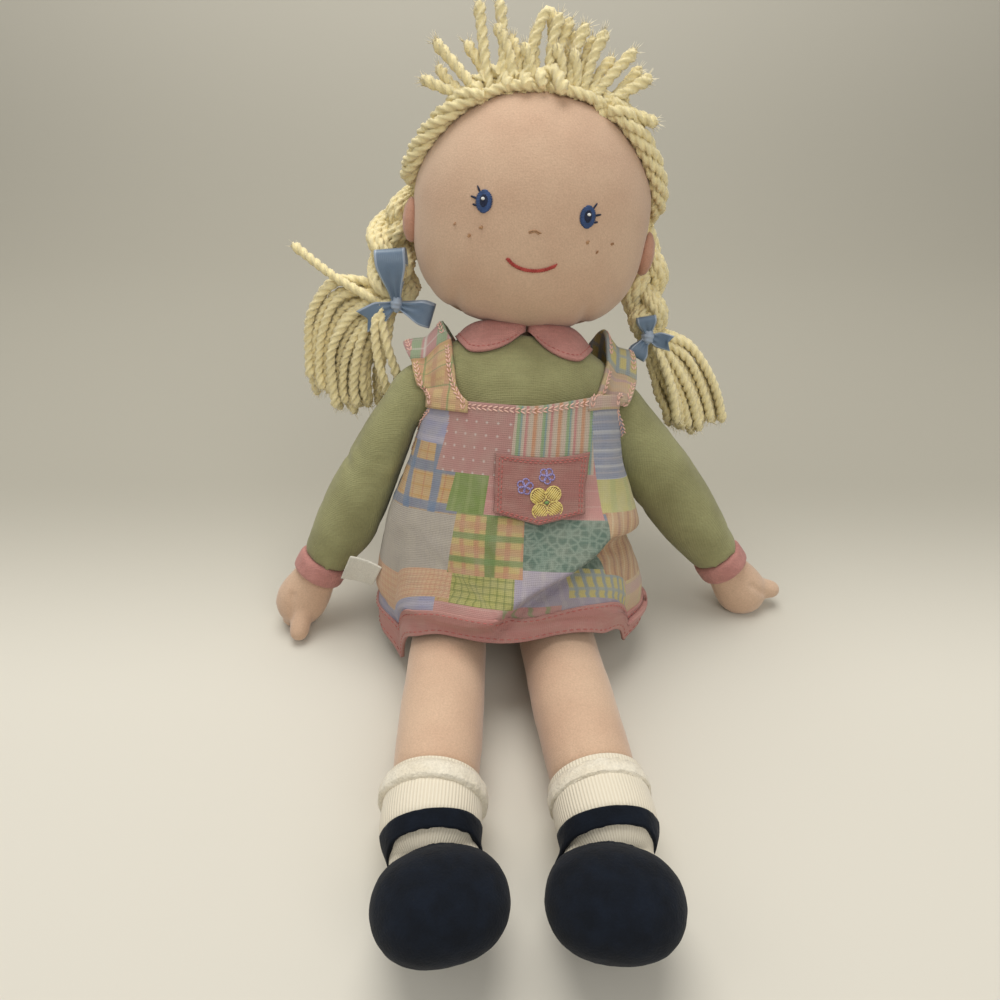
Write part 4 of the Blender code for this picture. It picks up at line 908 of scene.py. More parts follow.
# One panel or one hem band. Its cloth map is the true length along the panel from its middle.
def dressPanel(name, front, first, last, rows, columns, patches, cloth=None):
    arcs, turned = {}, 0 if front else math.pi

    def arcTable(drop):
        table, before, total = [(0, 0)], dressPoint(turned, drop, front), 0.0
        for k in range(1, 46):
            after = dressPoint(math.radians(2 * k) + turned, drop, front)
            total += (after - before).length
            before = after
            table.append((2.0 * k, total))
        return table

    def place(across, down):
        start = first
        if cloth and front:
            start -= hemRise * smoothStep(6, 55, dress["sideAngle"] * (2 * across - 1))
        drop = start + (last - start) * down
        height = dress["bibTop"] - bibFall * min(1.0, drop / dressLong / bibShare)
        degrees = sideLimit(height) * (2 * across - 1)
        angle = math.radians(degrees) + turned
        point = dressPoint(angle, drop, front)
        row = round(drop * 2) / 2
        if row not in arcs:
            arcs[row] = arcTable(row)
        if cloth:
            over = smoothStep(dress["bibTop"] + 4, dress["bibTop"] + 0.6, drop)
            point += outWay(angle, 0.2) * 0.9 * over
        along = math.copysign(linear(arcs[row], abs(degrees)), degrees)
        return inTorso(point), (along, drop, degrees)

    names = sorted({patch[0] for patch in patches})

    def pick(corners):
        degrees, drop = (sum(corner[k] for corner in corners) / 4 for k in (2, 1))
        for ink, low, high, top, bottom in patches:
            if low <= degrees <= high and top <= drop <= bottom:
                return names.index(ink)
        return 0

    materials = [prints[ink] for ink in names] or [cloth]
    return sheetPiece(name, columns, rows, place, dress["cloth"], materials, pick if patches else None)


bandTop, hemRise = dress["bibTop"], 9.0
bandEnd = bandTop + dress["hemBand"]
dressFront = dressPanel("dressFrontCloth", True, 0, bandTop + 0.4, 104, 150, frontPatches)
dressBack = dressPanel("dressBackCloth", False, 0, bandTop + 0.4, 84, 110, backPatches)
# The front hem gets the lighter rose copy, painted light, and the back hem the darker copy, painted shade
hemFront = dressPanel("hemFrontCloth", True, bandTop - 1, bandEnd, 26, 150, (), prints["litRose"])
hemBack = dressPanel("hemBackCloth", False, bandTop - 1, bandEnd, 18, 110, (), prints["shadedRose"])
for piece, slot, node in ((dressFront, "patchwork", "dress_front"), (dressBack, "patchwork", "dress_back"),
                          (hemFront, "pink", "hem_front"), (hemBack, "pink", "hem_back")):
    finish(piece, "torso", slot, node)
print("stage: dress")


# Sheets on the dress: straps that fold over the shoulder, the pocket, the collar and a blank label
strap = {"inner": 26.5, "rise": 6, "wide": 19, "apron": 5.0, "long": 120, "taper": 4.0,
         "flare": {"left": 5.5, "right": 3.5}, "fold": {"left": (0.36, 8.0, 4.5), "right": (0.37, 10.5, -2.0)},
         "shift": {"left": 0.5, "right": 8.0}, "slim": {"left": 0.5, "right": 4.0}}
castFrom = 100


# How far a tree's surface stands out from a point along a way
def castOut(tree, centre, way, missed):
    hit = tree.ray_cast(centre + way * castFrom * mm, -way)
    return castFrom * mm - hit[3] if hit[0] else missed


# A point of the sheet and its normal on the side that faces outward
def facing(place, across, down, outward):
    step = 0.01
    a, b = min(1 - step, max(step, across)), min(1 - step, max(step, down))
    along = place(a, b + step)[0] - place(a, b - step)[0]
    over = place(a + step, b)[0] - place(a - step, b)[0]
    normal, point = along.cross(over).normalized(), place(across, down)[0]
    return point, normal if normal.dot(outward(point)) > 0 else -normal


def bodyAngle(x, drop, grow):
    wide = torsoPoint(dress["bibTop"] - drop, grow, math.pi / 2).x
    return math.copysign(math.asin(min(1, abs(x / wide)) ** (torso["roundness"] / 2)), x)


def bibPoint(x, drop, lift):
    angle = bodyAngle(x, drop, clothGrow)
    return torsoPoint(dress["bibTop"] - drop, clothGrow, angle) + bibShift(x, drop) + outWay(angle) * lift


# down 0 is on the bib, and the fold gives where the back of the strap turns over the front, its height
# and how far it leans outward
def strapPlace(side):
    sign, tree = sides[side], treeOf(nodes["strap_" + side])
    foldAt, foldHigh, foldLean = strap["fold"][side]
    last = {}

    def place(across, down):
        along = down * strap["long"] - strap["apron"]
        angle = math.pi * (0.004 + 0.992 * max(0.0, along) / (strap["long"] - strap["apron"]) - 0.5)
        ahead = math.exp(-max(0.0, along) / 4.0)
        lower = smoothStep(0.75, 0.50, down)
        edge = strap["inner"] + strap["rise"] * math.cos(angle)
        inner = edge + 0.25 - strap["flare"][side] * ahead
        outer = edge + strap["wide"] - 0.25 - strap["taper"] * ahead
        inner += strap["shift"][side] * lower
        outer += (strap["shift"][side] - strap["slim"][side]) * lower
        over = smoothStep(foldAt - 0.012, foldAt, down)
        puff = over * math.sin(math.pi * min(1.0, max(0.0, (down - foldAt + 0.02) / 0.36)))
        x = sign * (inner + (outer - inner) * across + foldLean * puff)
        rumple = 0.5 * noise.noise(Vector((x / 9, down * 12, 4.0)))
        onBib = bibPoint(x - bibShift(abs(x) * sign, 0).x, min(strap["apron"], -along), 0.9 + 0.3 * rumple)
        if along <= 0:
            return inTorso(onBib), (x, along, down)
        bare = sign * max(edge + 1.0, min(abs(x), edge + strap["wide"] - 1.0))
        beside = torsoWay(x - bare, 0, -0.4 * abs(x - bare)) * mm
        centre = inTorso(Vector((bare, 0, dress["bibTop"] + 0.6)))
        way = torsoWay(0, math.sin(angle), math.cos(angle))
        far = last[across] = castOut(tree, centre, way, last.get(across, 40 * mm))
        point = centre + beside + way * (far + (over * 0.9 + foldHigh * puff + rumple) * mm)
        return inTorso(onBib).lerp(point, smoothStep(0, 7, along)), (x, along, down)
    return place


strapPrints = {"left": ("sunCheck", "mintRose"), "right": ("peachMottled", "skyPlaid")}
strapPlaces = {side: strapPlace(side) for side in sides}
for side, sign in sides.items():
    foldAt = strap["fold"][side][0]
    piece = sheetPiece("strap" + side.title() + "Cloth", 15, 104, strapPlaces[side], dress["cloth"],
                       [prints[ink] for ink in strapPrints[side]],
                       lambda corners: 1 if corners[0][2] > foldAt else 0, isFlipped=sign > 0)
    finish(piece, "torso", "patchwork", "strap_" + side)

pocket = {"wide": 40.5, "tall": 26.5, "point": 6.0, "dip": 1.6, "across": 12.2, "drop": 20.5, "lift": 2.0}


def pocketPlace(across, down):
    share = 2 * across - 1
    drop = pocket["drop"] + pocket["tall"] * down + pocket["point"] * (1 - abs(share)) * down
    drop += pocket["dip"] * (1 - share**2) * (1 - down) - 0.8 - 1.1 * share
    x = pocket["across"] + pocket["wide"] / 2 * share * (1 - 0.06 * down)
    x -= bibShift(x, drop).x
    angle = bodyAngle(x, drop, dress["cloth"])
    swell = 0.7 * math.sin(math.pi * across) * math.sin(math.pi * down)
    return inTorso(dressPoint(angle, drop, True) + outWay(angle) * (pocket["lift"] + swell)), (x, drop, 0)


# The pocket gets the darker rose copy, painted shade for its upright face
pocketCloth = sheetPiece("pocketCloth", 46, 36, pocketPlace, 1.2, [prints["shadedRose"]])
finish(pocketCloth, "torso", "pink", "pocket")

collar = {"inner": 12.5, "reach": 41, "side": 27.5, "rise": 23.5, "tip": 0.12, "spread": 4.2, "lift": 2.0,
          "stand": 5.5, "first": 1, "last": 172}


def collarPlace(side, tree):
    sign = sides[side]
    centre = inTorso(Vector((1.4, 6, dress["bibTop"])))

    def place(across, down):
        turn = math.radians(collar["first"] + (collar["last"] - collar["first"]) * across)
        reach = collar["side"] / max(math.sin(turn), collar["side"] / collar["reach"])
        spread = min(1.0, collar["tip"] + collar["spread"] * across)
        spread = spread * spread * (3 - 2 * spread) * 0.5 + spread * 0.5
        radius = collar["inner"] + (reach - collar["inner"]) * spread * down
        way = Vector((sign * math.sin(turn) * radius, -math.cos(turn) * radius, collar["rise"])).normalized()
        way = torsoFrame.to_3x3() @ way
        far = castOut(tree, centre, way, 30 * mm)
        swell = 0.6 * math.sin(math.pi * down) + 0.3 * noise.noise(Vector((across * 9, down * 3, sign)))
        stand = torsoWay(0, 0, collar["stand"] * (1 - down) ** 1.6)
        return centre + way * (far + (collar["lift"] + swell) * mm) + stand * mm, (turn * 24, radius, 0)
    return place


collarTree = treeOf(bpy.data.objects["bodychestSoft"])
collarPlaces = {side: collarPlace(side, collarTree) for side in sides}
for side, sign in sides.items():
    piece = sheetPiece("collar" + side.title() + "Cloth", 56, 14, collarPlaces[side], 1.5, [pinkCloth],
                       isFlipped=sign < 0)
    finish(piece, "torso", "pink", "collar_" + side)
# The label, moved and bent outward past the dress's side
tagPiece = softCopy("blankLabel", "side_tag", 0.45, 2, tagCloth)
for vertex in tagPiece.data.vertices:
    local = toTorso @ vertex.co / mm
    reach = max(0.0, -local.x - 62)
    vertex.co = inTorso(local + Vector((3.5, -6.0 + 0.5 * math.sin(reach / 5), -0.012 * reach**2)))
finish(tagPiece, "torso", "tag", "side_tag")
print("stage: straps, pocket, collar, label")


# Stitches: each is one small closed bead of thread that lies along its seam
def addStitch(bm, place, along, normal, long, thick):
    side = normal.cross(along).normalized()
    turn = Matrix((along * long / 2, side * thick / 2, normal * thick / 2)).transposed().to_4x4()
    turn.translation = place
    bmesh.ops.create_uvsphere(bm, u_segments=6, v_segments=4, radius=mm,
                              matrix=turn @ Matrix.Rotation(math.pi / 2, 4, "Y"))


# A route is a list of (point, normal); slant turns every stitch, and two rows make a chain
def stitchRow(bm, route, pitch, long, thick, slant=0.0):
    walked, due = 0.0, pitch / 2
    for (start, first), (end, last) in zip(route, route[1:]):
        step = (end - start).length / mm
        while step > 0 and walked + step >= due:
            share = (due - walked) / step
            normal = first.lerp(last, share).normalized()
            along = (end - start).normalized()
            along = (along - normal * along.dot(normal)).normalized()
            if slant:
                along = Matrix.Rotation(math.radians(slant), 3, normal) @ along
            addStitch(bm, start.lerp(end, share) + normal * thick * 0.2 * mm, along, normal, long, thick)
            due += pitch
        walked += step


def chainRow(bm, route, pitch, thick, apart):
    for sign in (-1, 1):
        shifted = []
        for k, (point, normal) in enumerate(route):
            ahead = route[min(len(route) - 1, k + 1)][0] - route[max(0, k - 1)][0]
            shifted.append((point + normal.cross(ahead).normalized() * sign * apart / 2 * mm, normal))
        stitchRow(bm, shifted, pitch, pitch * 1.05, thick, sign * 24)


def dressRoute(front, angles, drop, lift=0.0):
    route = []
    for degrees in angles:
        angle = math.radians(degrees) + (0 if front else math.pi)
        over = dressPoint(angle + 0.02, drop, front) - dressPoint(angle - 0.02, drop, front)
        down = dressPoint(angle, drop + 0.5, front) - dressPoint(angle, drop - 0.5, front)
        normal = (torsoFrame.to_3x3() @ down.cross(over)).normalized()
        route.append((inTorso(dressPoint(angle, drop, front)) + normal * lift * mm, normal))
    return route


# The count + 1 even steps from low to high
def steps(low, high, count):
    return [low + (high - low) * k / count for k in range(count + 1)]


def sideRoute(sign, front, inset, first, last):
    route = []
    for drop in steps(first, last, 32):
        route += dressRoute(front, [sign * (sideLimit(dress["bibTop"] - drop) - inset)], drop)
    return route


# Sizes in mm as (pitch, length, thickness), and the chain's as (pitch, thickness, distance apart)
stitches = {"chain": (2.4, 0.75, 1.3), "hemTop": (2.8, 2.0, 0.55), "hemEnd": (3.2, 2.2, 0.5),
            "pocket": (2.2, 1.7, 0.55), "collar": (2.3, 1.7, 0.5)}
neckMiddle = torsoFrame @ Vector((0, 0, dress["bibTop"] * mm))
bm = bmesh.new()
for front in (True, False):
    chainRow(bm, dressRoute(front, [-31 + 66 * k / 60 for k in range(61)], 2.2), *stitches["chain"])
    for sign in (-1, 1):
        chainRow(bm, sideRoute(sign, front, 3.0, 3, 26), *stitches["chain"])
for side in sides:
    for across in (0.1, 0.9):
        for low, high in ((0.01, 0.345), (0.395, 0.97)):
            chainRow(bm, [facing(strapPlaces[side], across, down, lambda point: point - neckMiddle)
                          for down in steps(low, high, 40)], *stitches["chain"])
finish(makePiece("seamStitches", bm, threads["palePink"]), "torso", "pink")

bm = bmesh.new()
around = [-88 + 176 * k / 160 for k in range(161)]
for front in (True, False):
    route = []
    for degrees in around:
        top = bandTop + 0.8 - (hemRise * smoothStep(6, 55, degrees) if front else 0)
        route += dressRoute(front, [degrees], top, 0.8)
    stitchRow(bm, route, *stitches["hemTop"])
    stitchRow(bm, dressRoute(front, around, 114.8), *stitches["hemEnd"])
edge = [(0.04, 0.05 + 0.9 * k / 20) for k in range(21)] + [(0.04 + 0.92 * k / 30, 0.96) for k in range(31)]
edge += [(0.96, 0.95 - 0.9 * k / 20) for k in range(21)] + [(0.96 - 0.92 * k / 30, 0.05) for k in range(31)]
for inset in (0.0, 0.035):
    inner = [(0.5 + (across - 0.5) * (1 - 2 * inset), 0.5 + (down - 0.5) * (1 - 2 * inset)) for across, down in edge]
    route = [facing(pocketPlace, across, down, lambda point: torsoWay(0, -1, 0)) for across, down in inner]
    stitchRow(bm, route, *stitches["pocket"])
for side in sides:
    route = [facing(collarPlaces[side], 0.05 + 0.9 * k / 79, 0.84, lambda point: torsoWay(0, 0, 1))
             for k in range(80)]
    stitchRow(bm, route, *stitches["collar"])
finish(makePiece("roseStitches", bm, threads["rose"]), "torso", "pink")


# Embroidery on the pocket: a yellow four-petal flower and two small lilac ones
# as (thread, across, down, petals, petal's distance and size in mm, first petal's turn)
flowers = [("yellow", 0.56, 0.64, 4, 4.7, 6.6, 42), ("lilac", 0.32, 0.44, 5, 2.0, 2.8, 18),
           ("lilac", 0.54, 0.26, 5, 2.0, 2.8, 54)]
for index, (ink, across, down, petals, away, wide, turn) in enumerate(flowers):
    bm, middle, isLarge = bmesh.new(), bmesh.new(), petals == 4
    point, normal = facing(pocketPlace, across, down, lambda point: torsoWay(0, -1, 0))
    over = (pocketPlace(across + 0.02, down)[0] - point).normalized()
    rounds = 12 if isLarge else 7
    for k in range(petals):
        way = Matrix.Rotation(math.radians(turn + 360 * k / petals), 3, normal) @ over
        aside = normal.cross(way)
        centre = point + way * away * mm + normal * 0.15 * mm
        for j in range(rounds):
            spoke = math.tau * j / rounds
            rim = (way * math.cos(spoke) + aside * math.sin(spoke)) * wide / 2 * mm
            along = aside * math.cos(spoke) - way * math.sin(spoke)
            addStitch(bm, centre + rim, along, normal, math.pi * wide / rounds * 1.25, 0.8)
        for j in range(7 if isLarge else 0):
            long = wide * math.sqrt(1 - ((j - 3) / 3.8) ** 2)
            addStitch(bm, centre + aside * (j - 3) * wide * 0.13 * mm, way, normal, long, 0.95)
    addStitch(middle, point + normal * 0.35 * mm, over, normal, 2.2 if isLarge else 1.5, 1.6)
    finish(makePiece("flower" + str(index), bm, threads[ink]), "torso", "pink")
    finish(makePiece("flowerMiddle" + str(index), middle, threads["green" if isLarge else "lilac"]),
           "torso", "pink")
print("stage: stitches and embroidery")


# Face, all in thread: x and z in mm from the middle of the head
face = {"eyes": [(-21.1, 1.2), (21.3, -0.3)], "eyeWide": 7.0, "eyeTall": 8.3,
        "lashes": [(-0.45, 0.70, -0.85, 1.25), (-0.80, 0.18, -1.45, 0.34), (-0.75, -0.45, -1.25, -0.36)],
        "freckles": [(-32.4, -8.4), (-21.2, -8.7), (-25.9, -12.3), (22.8, -10.0), (33.5, -9.6), (27.4, -13.4)],
        "nose": [(-1.7, -8.6), (0.4, -7.9), (2.4, -8.5)],
        "smile": [(-9.4, -19.5), (-6.6, -21.7), (-2.6, -23.0), (2.0, -23.2), (6.4, -22.3), (10.9, -20.2)]}


def evenRoute(points, step):
    padded = [points[0] * 2 - points[1]] + list(points) + [points[-1] * 2 - points[-2]]
    dense = []
    for a, b, c, d in zip(padded, padded[1:], padded[2:], padded[3:]):
        for k in range(12):
            t = k / 12
            dense.append(0.5 * (2 * b + (c - a) * t + (2 * a - 5 * b + 4 * c - d) * t**2
                                + (3 * b - a - 3 * c + d) * t**3))
    dense.append(points[-1].copy())
    total = sum((b - a).length for a, b in zip(dense, dense[1:]))
    count = max(3, round(total / (step * mm)))
    route, walked, want = [dense[0]], 0.0, 1
    for a, b in zip(dense, dense[1:]):
        size = (b - a).length
        while want < count and size > 0 and walked + size >= want * total / count:
            route.append(a.lerp(b, (want * total / count - walked) / size))
            want += 1
        walked += size
    return route + [dense[-1]]


def headRoute(points, lift, step=0.5):
    flat = evenRoute([Vector((x * mm, 0, z * mm)) for x, z in points], step)
    return [onHead(point.x / mm, point.z / mm, lift) for point in flat]


def addThreads(bm, points, width, strands, twist, thick):
    route = headRoute(points, thick * 0.3, 0.6)
    for k in range(strands):
        shifted = []
        for index, (point, normal) in enumerate(route):
            ahead = (route[min(len(route) - 1, index + 1)][0] - route[max(0, index - 1)][0]).normalized()
            off = (k - (strands - 1) / 2) * width / max(1, strands)
            shifted.append((point + normal.cross(ahead) * off * mm, normal))
        stitchRow(bm, shifted, 1.0, 1.9, thick, twist)


# Satin stitch: threads side by side, each a slim bead across the shape
def addSatin(bm, x, z, wide, tall, across=14, lift=0.15):
    for k in range(across):
        share = (k + 0.5) / across * 2 - 1
        half = (1 - abs(share) ** 2.3) ** 0.5 * 1.13
        high = z + share * tall / 2
        point, normal = onHead(x, high, lift)
        over = (onHead(x + 0.5, high)[0] - onHead(x - 0.5, high)[0]).normalized()
        addStitch(bm, point, over, normal, wide * half, 1.35)


eyes, pupils, glints, lashes, freckles, smile = [bmesh.new() for _ in range(6)]
headAcross = headFrame.to_3x3() @ Vector((1, 0, 0))
for (x, z), sign in zip(face["eyes"], (1, -1)):
    addSatin(eyes, x, z, face["eyeWide"], face["eyeTall"])
    addSatin(pupils, x + sign * 0.1, z + 0.2, 3.6, 4.4, 8, 0.45)
    point, normal = onHead(x - 0.1, z + 0.9, 1.05)
    addStitch(glints, point, headAcross, normal, 1.7, 1.3)
    half, tall = face["eyeWide"] / 2, face["eyeTall"] / 2
    for x1, z1, x2, z2 in face["lashes"]:
        route = headRoute([(x + sign * x1 * half, z + z1 * tall), (x + sign * x2 * half, z + z2 * tall)], 0.15)
        middle, normal = route[len(route) // 2]
        way = route[-1][0] - route[0][0]
        addStitch(lashes, middle, way.normalized(), normal, way.length / mm * 1.35, 0.95)
maker = random.Random(11)
for x, z in face["freckles"]:
    point, normal = onHead(x, z, 0.25)
    for _ in range(3):
        way = Matrix.Rotation(maker.uniform(0, 3.1), 3, normal) @ headAcross
        shift = way.cross(normal) * maker.uniform(-0.4, 0.4) * mm
        addStitch(freckles, point + shift, way, normal, 1.9, 0.8)
addThreads(freckles, face["nose"], 1.2, 2, 0, 0.5)
addThreads(smile, face["smile"], 1.0, 2, 26, 0.8)
for name, bm, ink, slot in (("eyeThreads", eyes, "navySilk", "felt"), ("pupilThreads", pupils, "ink", "felt"),
                            ("eyeGlints", glints, "white", "tag"), ("lashThreads", lashes, "ink", "felt"),
                            ("freckleKnots", freckles, "tanMetallic", "skin"),
                            ("smileThreads", smile, "red", "pink")):
    finish(makePiece(name, bm, threads[ink]), "head", slot)
print("stage: face")


# Yarn: three plies wound round each other, one turn in 13 mm, as a curve with a three-lobed section, whose
# lobes reach 1 and whose grooves lie at 0.59. A cut end is pinched at its tip and swells behind it.
yarn = {"turn": 13.0, "step": 1.5, "lobes": 12, "ply": 0.54, "off": 0.46, "groove": 0.59,
        "cutEnd": (0.62, 1.04, 1.16, 1.12, 1.05)}


def yarnMaterial():
    made, tree, shader = startMaterial("paleYellowWoolYarn", 0.95, 0.45)
    tint = mixed(tree, attributeOf(tree, "strand"), "#FFEFB8", "#FBE39E")
    tint = mixed(tree, attributeOf(tree, "tip"), tint, "#FFF5D8")
    # Painted shade: the grooves between the plies, and the underlay between the strands, are tinted darker toward
    # #C8A860 by the groove attribute
    tint = mixed(tree, calc(tree, "MULTIPLY", attributeOf(tree, "groove"), 0.3), tint, "#C8A860")
    fibres = cloudy(tree, millimetres(tree), 2.2, 3.0)
    surface(tree, shader, tint, fibres, 0.5, ranged(tree, fibres, 0.3, 0.7, 0.9, 1.08))
    return made


woolYarn = yarnMaterial()


def plyOutline():
    rim, ply, third = [], yarn["off"], math.pi / 3
    for k in range(yarn["lobes"]):
        angle = 2 * math.pi * k / yarn["lobes"]
        off = (angle + third) % (2 * third) - third
        rim.append((ply * math.cos(off) + math.sqrt(yarn["ply"]**2 - (ply * math.sin(off)) ** 2), angle))
    return rim


def makeProfile():
    data = bpy.data.curves.new("plyOutline", "CURVE")
    data.dimensions = "2D"
    spline = data.splines.new("POLY")
    spline.use_cyclic_u = True
    spline.points.add(yarn["lobes"] - 1)
    for point, (reach, angle) in zip(spline.points, plyOutline()):
        point.co = (reach * mm * math.cos(angle), reach * mm * math.sin(angle), 0, 1)
    profile = bpy.data.objects.new("plyOutline", data)
    scene.collection.objects.link(profile)
    return profile


# Each strand is (points, radius, its end is cut)
def yarnPiece(name, strands, seed):
    profile = makeProfile()
    data = bpy.data.curves.new(name, "CURVE")
    data.dimensions = "3D"
    data.bevel_mode = "OBJECT"
    data.bevel_object = profile
    data.use_fill_caps = True
    data.twist_mode = "MINIMUM"
    maker = random.Random(seed)
    rows = []
    for points, radius, isCut in strands:
        route = evenRoute(points, yarn["step"])
        spline = data.splines.new("POLY")
        spline.points.add(len(route) - 1)
        start, shade, walked = maker.uniform(0, 6), maker.random(), 0.0
        for k, place in enumerate(route):
            if k:
                walked += (place - route[k - 1]).length / mm
            left, tip, girth = len(route) - 1 - k, 0.0, 1.0
            if isCut and left < 5:
                tip, girth = 1 - left / 5, yarn["cutEnd"][left]
            point = spline.points[k]
            point.co = (*place, 1)
            point.radius = radius * girth
            point.tilt = start + 2 * math.pi * walked / yarn["turn"]
            rows.append((shade, tip))
    holder = bpy.data.objects.new(name + "Curve", data)
    scene.collection.objects.link(holder)
    bpy.context.view_layer.update()
    mesh = bpy.data.meshes.new_from_object(holder.evaluated_get(bpy.context.evaluated_depsgraph_get()))
    for item in (holder, profile):
        bpy.data.objects.remove(item, do_unlink=True)
    mesh.name = name
    mesh.materials.clear()
    mesh.materials.append(woolYarn)
    mesh.shade_smooth()
    count = yarn["lobes"]
    if len(mesh.vertices) == len(rows) * count:
        # Groove weights for the painted shade: 1 deep in a groove, 0 on a lobe's top
        grooves = [1 - (reach - yarn["groove"]) / (1 - yarn["groove"]) for reach, _ in plyOutline()]
        setAttribute(mesh, "strand", [shade for shade, _ in rows for _ in range(count)])
        setAttribute(mesh, "tip", [tip for _, tip in rows for _ in range(count)])
        setAttribute(mesh, "groove", grooves * len(rows))
    else:
        print("yarn rows differ:", name, len(mesh.vertices), len(rows) * count)
    piece = bpy.data.objects.new(name, mesh)
    scene.collection.objects.link(piece)
    print("yarn:", name, len(strands), "strands", len(mesh.polygons), "faces")
    return piece


# Cap: strands leave a centre parting and run over the head to each braid
hair = {"tilt": 27, "front": 95, "nape": -73, "perSide": 30, "radius": 2.5, "lift": 2.5, "base": 2.2,
        "sunk": -4,
        "edge": [(0, 97), (30, 98), (50, 99.5), (70, 96), (88, 86), (110, 80), (140, 78), (180, 76)],
        "ropeYarns": 4, "ropeTurns": 1.8, "ropeStart": 27, "ropeWide": 2.7, "ropeHigh": 2.4, "ropeRadius": 2.35}
tilt = math.radians(hair["tilt"])
pole, upper = Vector((0, math.cos(tilt), math.sin(tilt))), Vector((0, -math.sin(tilt), math.cos(tilt)))


def scalpPoint(x, y, grow):
    polar, turn = math.radians(math.hypot(x, y)), math.atan2(x, y)
    way = pole * math.cos(polar) + (upper * math.cos(turn) + Vector((1, 0, 0)) * math.sin(turn)) * math.sin(polar)
    return headFrame @ headPoint(way, grow)


def scalpMap(point):
    local = headLocal(point)
    way = Vector((local.x / head["halfWide"], local.y / head["halfDeep"], local.z / head["halfTall"])).normalized()
    polar, turn = math.degrees(math.acos(way.dot(pole))), math.atan2(way.x, way.dot(upper))
    return polar * math.sin(turn), polar * math.cos(turn)


def hairEdge(turn):
    return eased(hair["edge"], abs(math.degrees(turn)))[0]


# A cloth cap closes the gaps between the strands; outside the hair's edge it is sunk into the head
def buildHairBase():
    bm = bmesh.new()
    bmesh.ops.create_icosphere(bm, subdivisions=6, radius=1.0)
    for vertex in bm.verts:
        way = vertex.co.copy()
        polar, turn = math.degrees(math.acos(max(-1, min(1, way.dot(pole))))), math.atan2(way.x, way.dot(upper))
        share = smoothStep(0, 3.0, hairEdge(turn) - 1.5 - polar)
        vertex.co = headFrame @ headPoint(way, hair["sunk"] + (hair["base"] - hair["sunk"]) * share)
    piece = makePiece("hairUnderlay", bm, woolYarn)
    # Groove weight 0.9 all over: the underlay is painted darker, as shade in the gaps between the strands
    setAttribute(piece.data, "groove", [0.9] * len(piece.data.vertices))
    return finish(piece, "head", "yarn")


def capStrands():
    maker = random.Random(3)
    strands, count = [], hair["perSide"]
    for side, sign in sides.items():
        rootX, rootY = scalpMap(jointPlace(f"braid_{side}_swing"))
        for k in range(count):
            u = k / (count - 1)
            s = hair["front"] + (hair["nape"] - hair["front"]) * u
            end = Vector((rootX + sign * (2 - 3 * (k % 3)), rootY + 9 * (0.5 - u), 0))
            reach = 25 + 37 * (abs(s) / 95) ** 1.3
            lead = Vector((rootX - sign * (20 - 34 * abs(s) / 95), rootY + 0.53 * s, 0))
            first, second = Vector((sign * 1.2, s, 0)), Vector((sign * reach, s * 0.99, 0))
            route = []
            for j in range(13):
                t = j / 12
                flat = first * (1 - t) ** 3 + second * 3 * t * (1 - t) ** 2 + lead * 3 * t**2 * (1 - t) + end * t**3
                edge = hairEdge(math.atan2(flat.x, flat.y)) - 2.2 - 3.2 * min(k, count - 1 - k)
                size = math.hypot(flat.x, flat.y)
                if size > edge:
                    flat *= edge / size
                lift = hair["lift"] + (k % 3) * 0.9 * smoothStep(0.5, 1.0, t) - 1.2 * smoothStep(0.12, 0.0, t)
                route.append(scalpPoint(flat.x + maker.uniform(-0.5, 0.5), flat.y + maker.uniform(-0.5, 0.5), lift))
            strands.append((route, hair["radius"], False))
        strands += ropeStrands(side, Vector((rootX, rootY, 0)))
    return strands


# The outermost yarns twist together into a rope that frames the forehead and runs into the braid
def ropeStrands(side, root):
    strands = []
    last = math.degrees(math.atan2(abs(root.x), root.y))
    for k in range(hair["ropeYarns"]):
        route = []
        for j in range(31):
            t = j / 30
            around = math.radians(hair["ropeStart"] + (last - hair["ropeStart"]) * t)
            polar = hairEdge(around) - 3.4
            blend = smoothStep(0.78, 1.0, t)
            polar += (math.hypot(root.x, root.y) - polar) * blend
            spin = 2 * math.pi * (k / hair["ropeYarns"] + hair["ropeTurns"] * t)
            tight = 1 - 0.55 * blend
            polar += math.degrees(hair["ropeWide"] * tight / 54) * math.cos(spin)
            high = (hair["lift"] + 1.9 + hair["ropeHigh"] * tight * math.sin(spin)
                    - 1.6 * smoothStep(0.08, 0, t) - 1.2 * t)
            route.append(scalpPoint(sides[side] * polar * math.sin(around), polar * math.cos(around), high))
        strands.append((route, hair["ropeRadius"], False))
    return strands


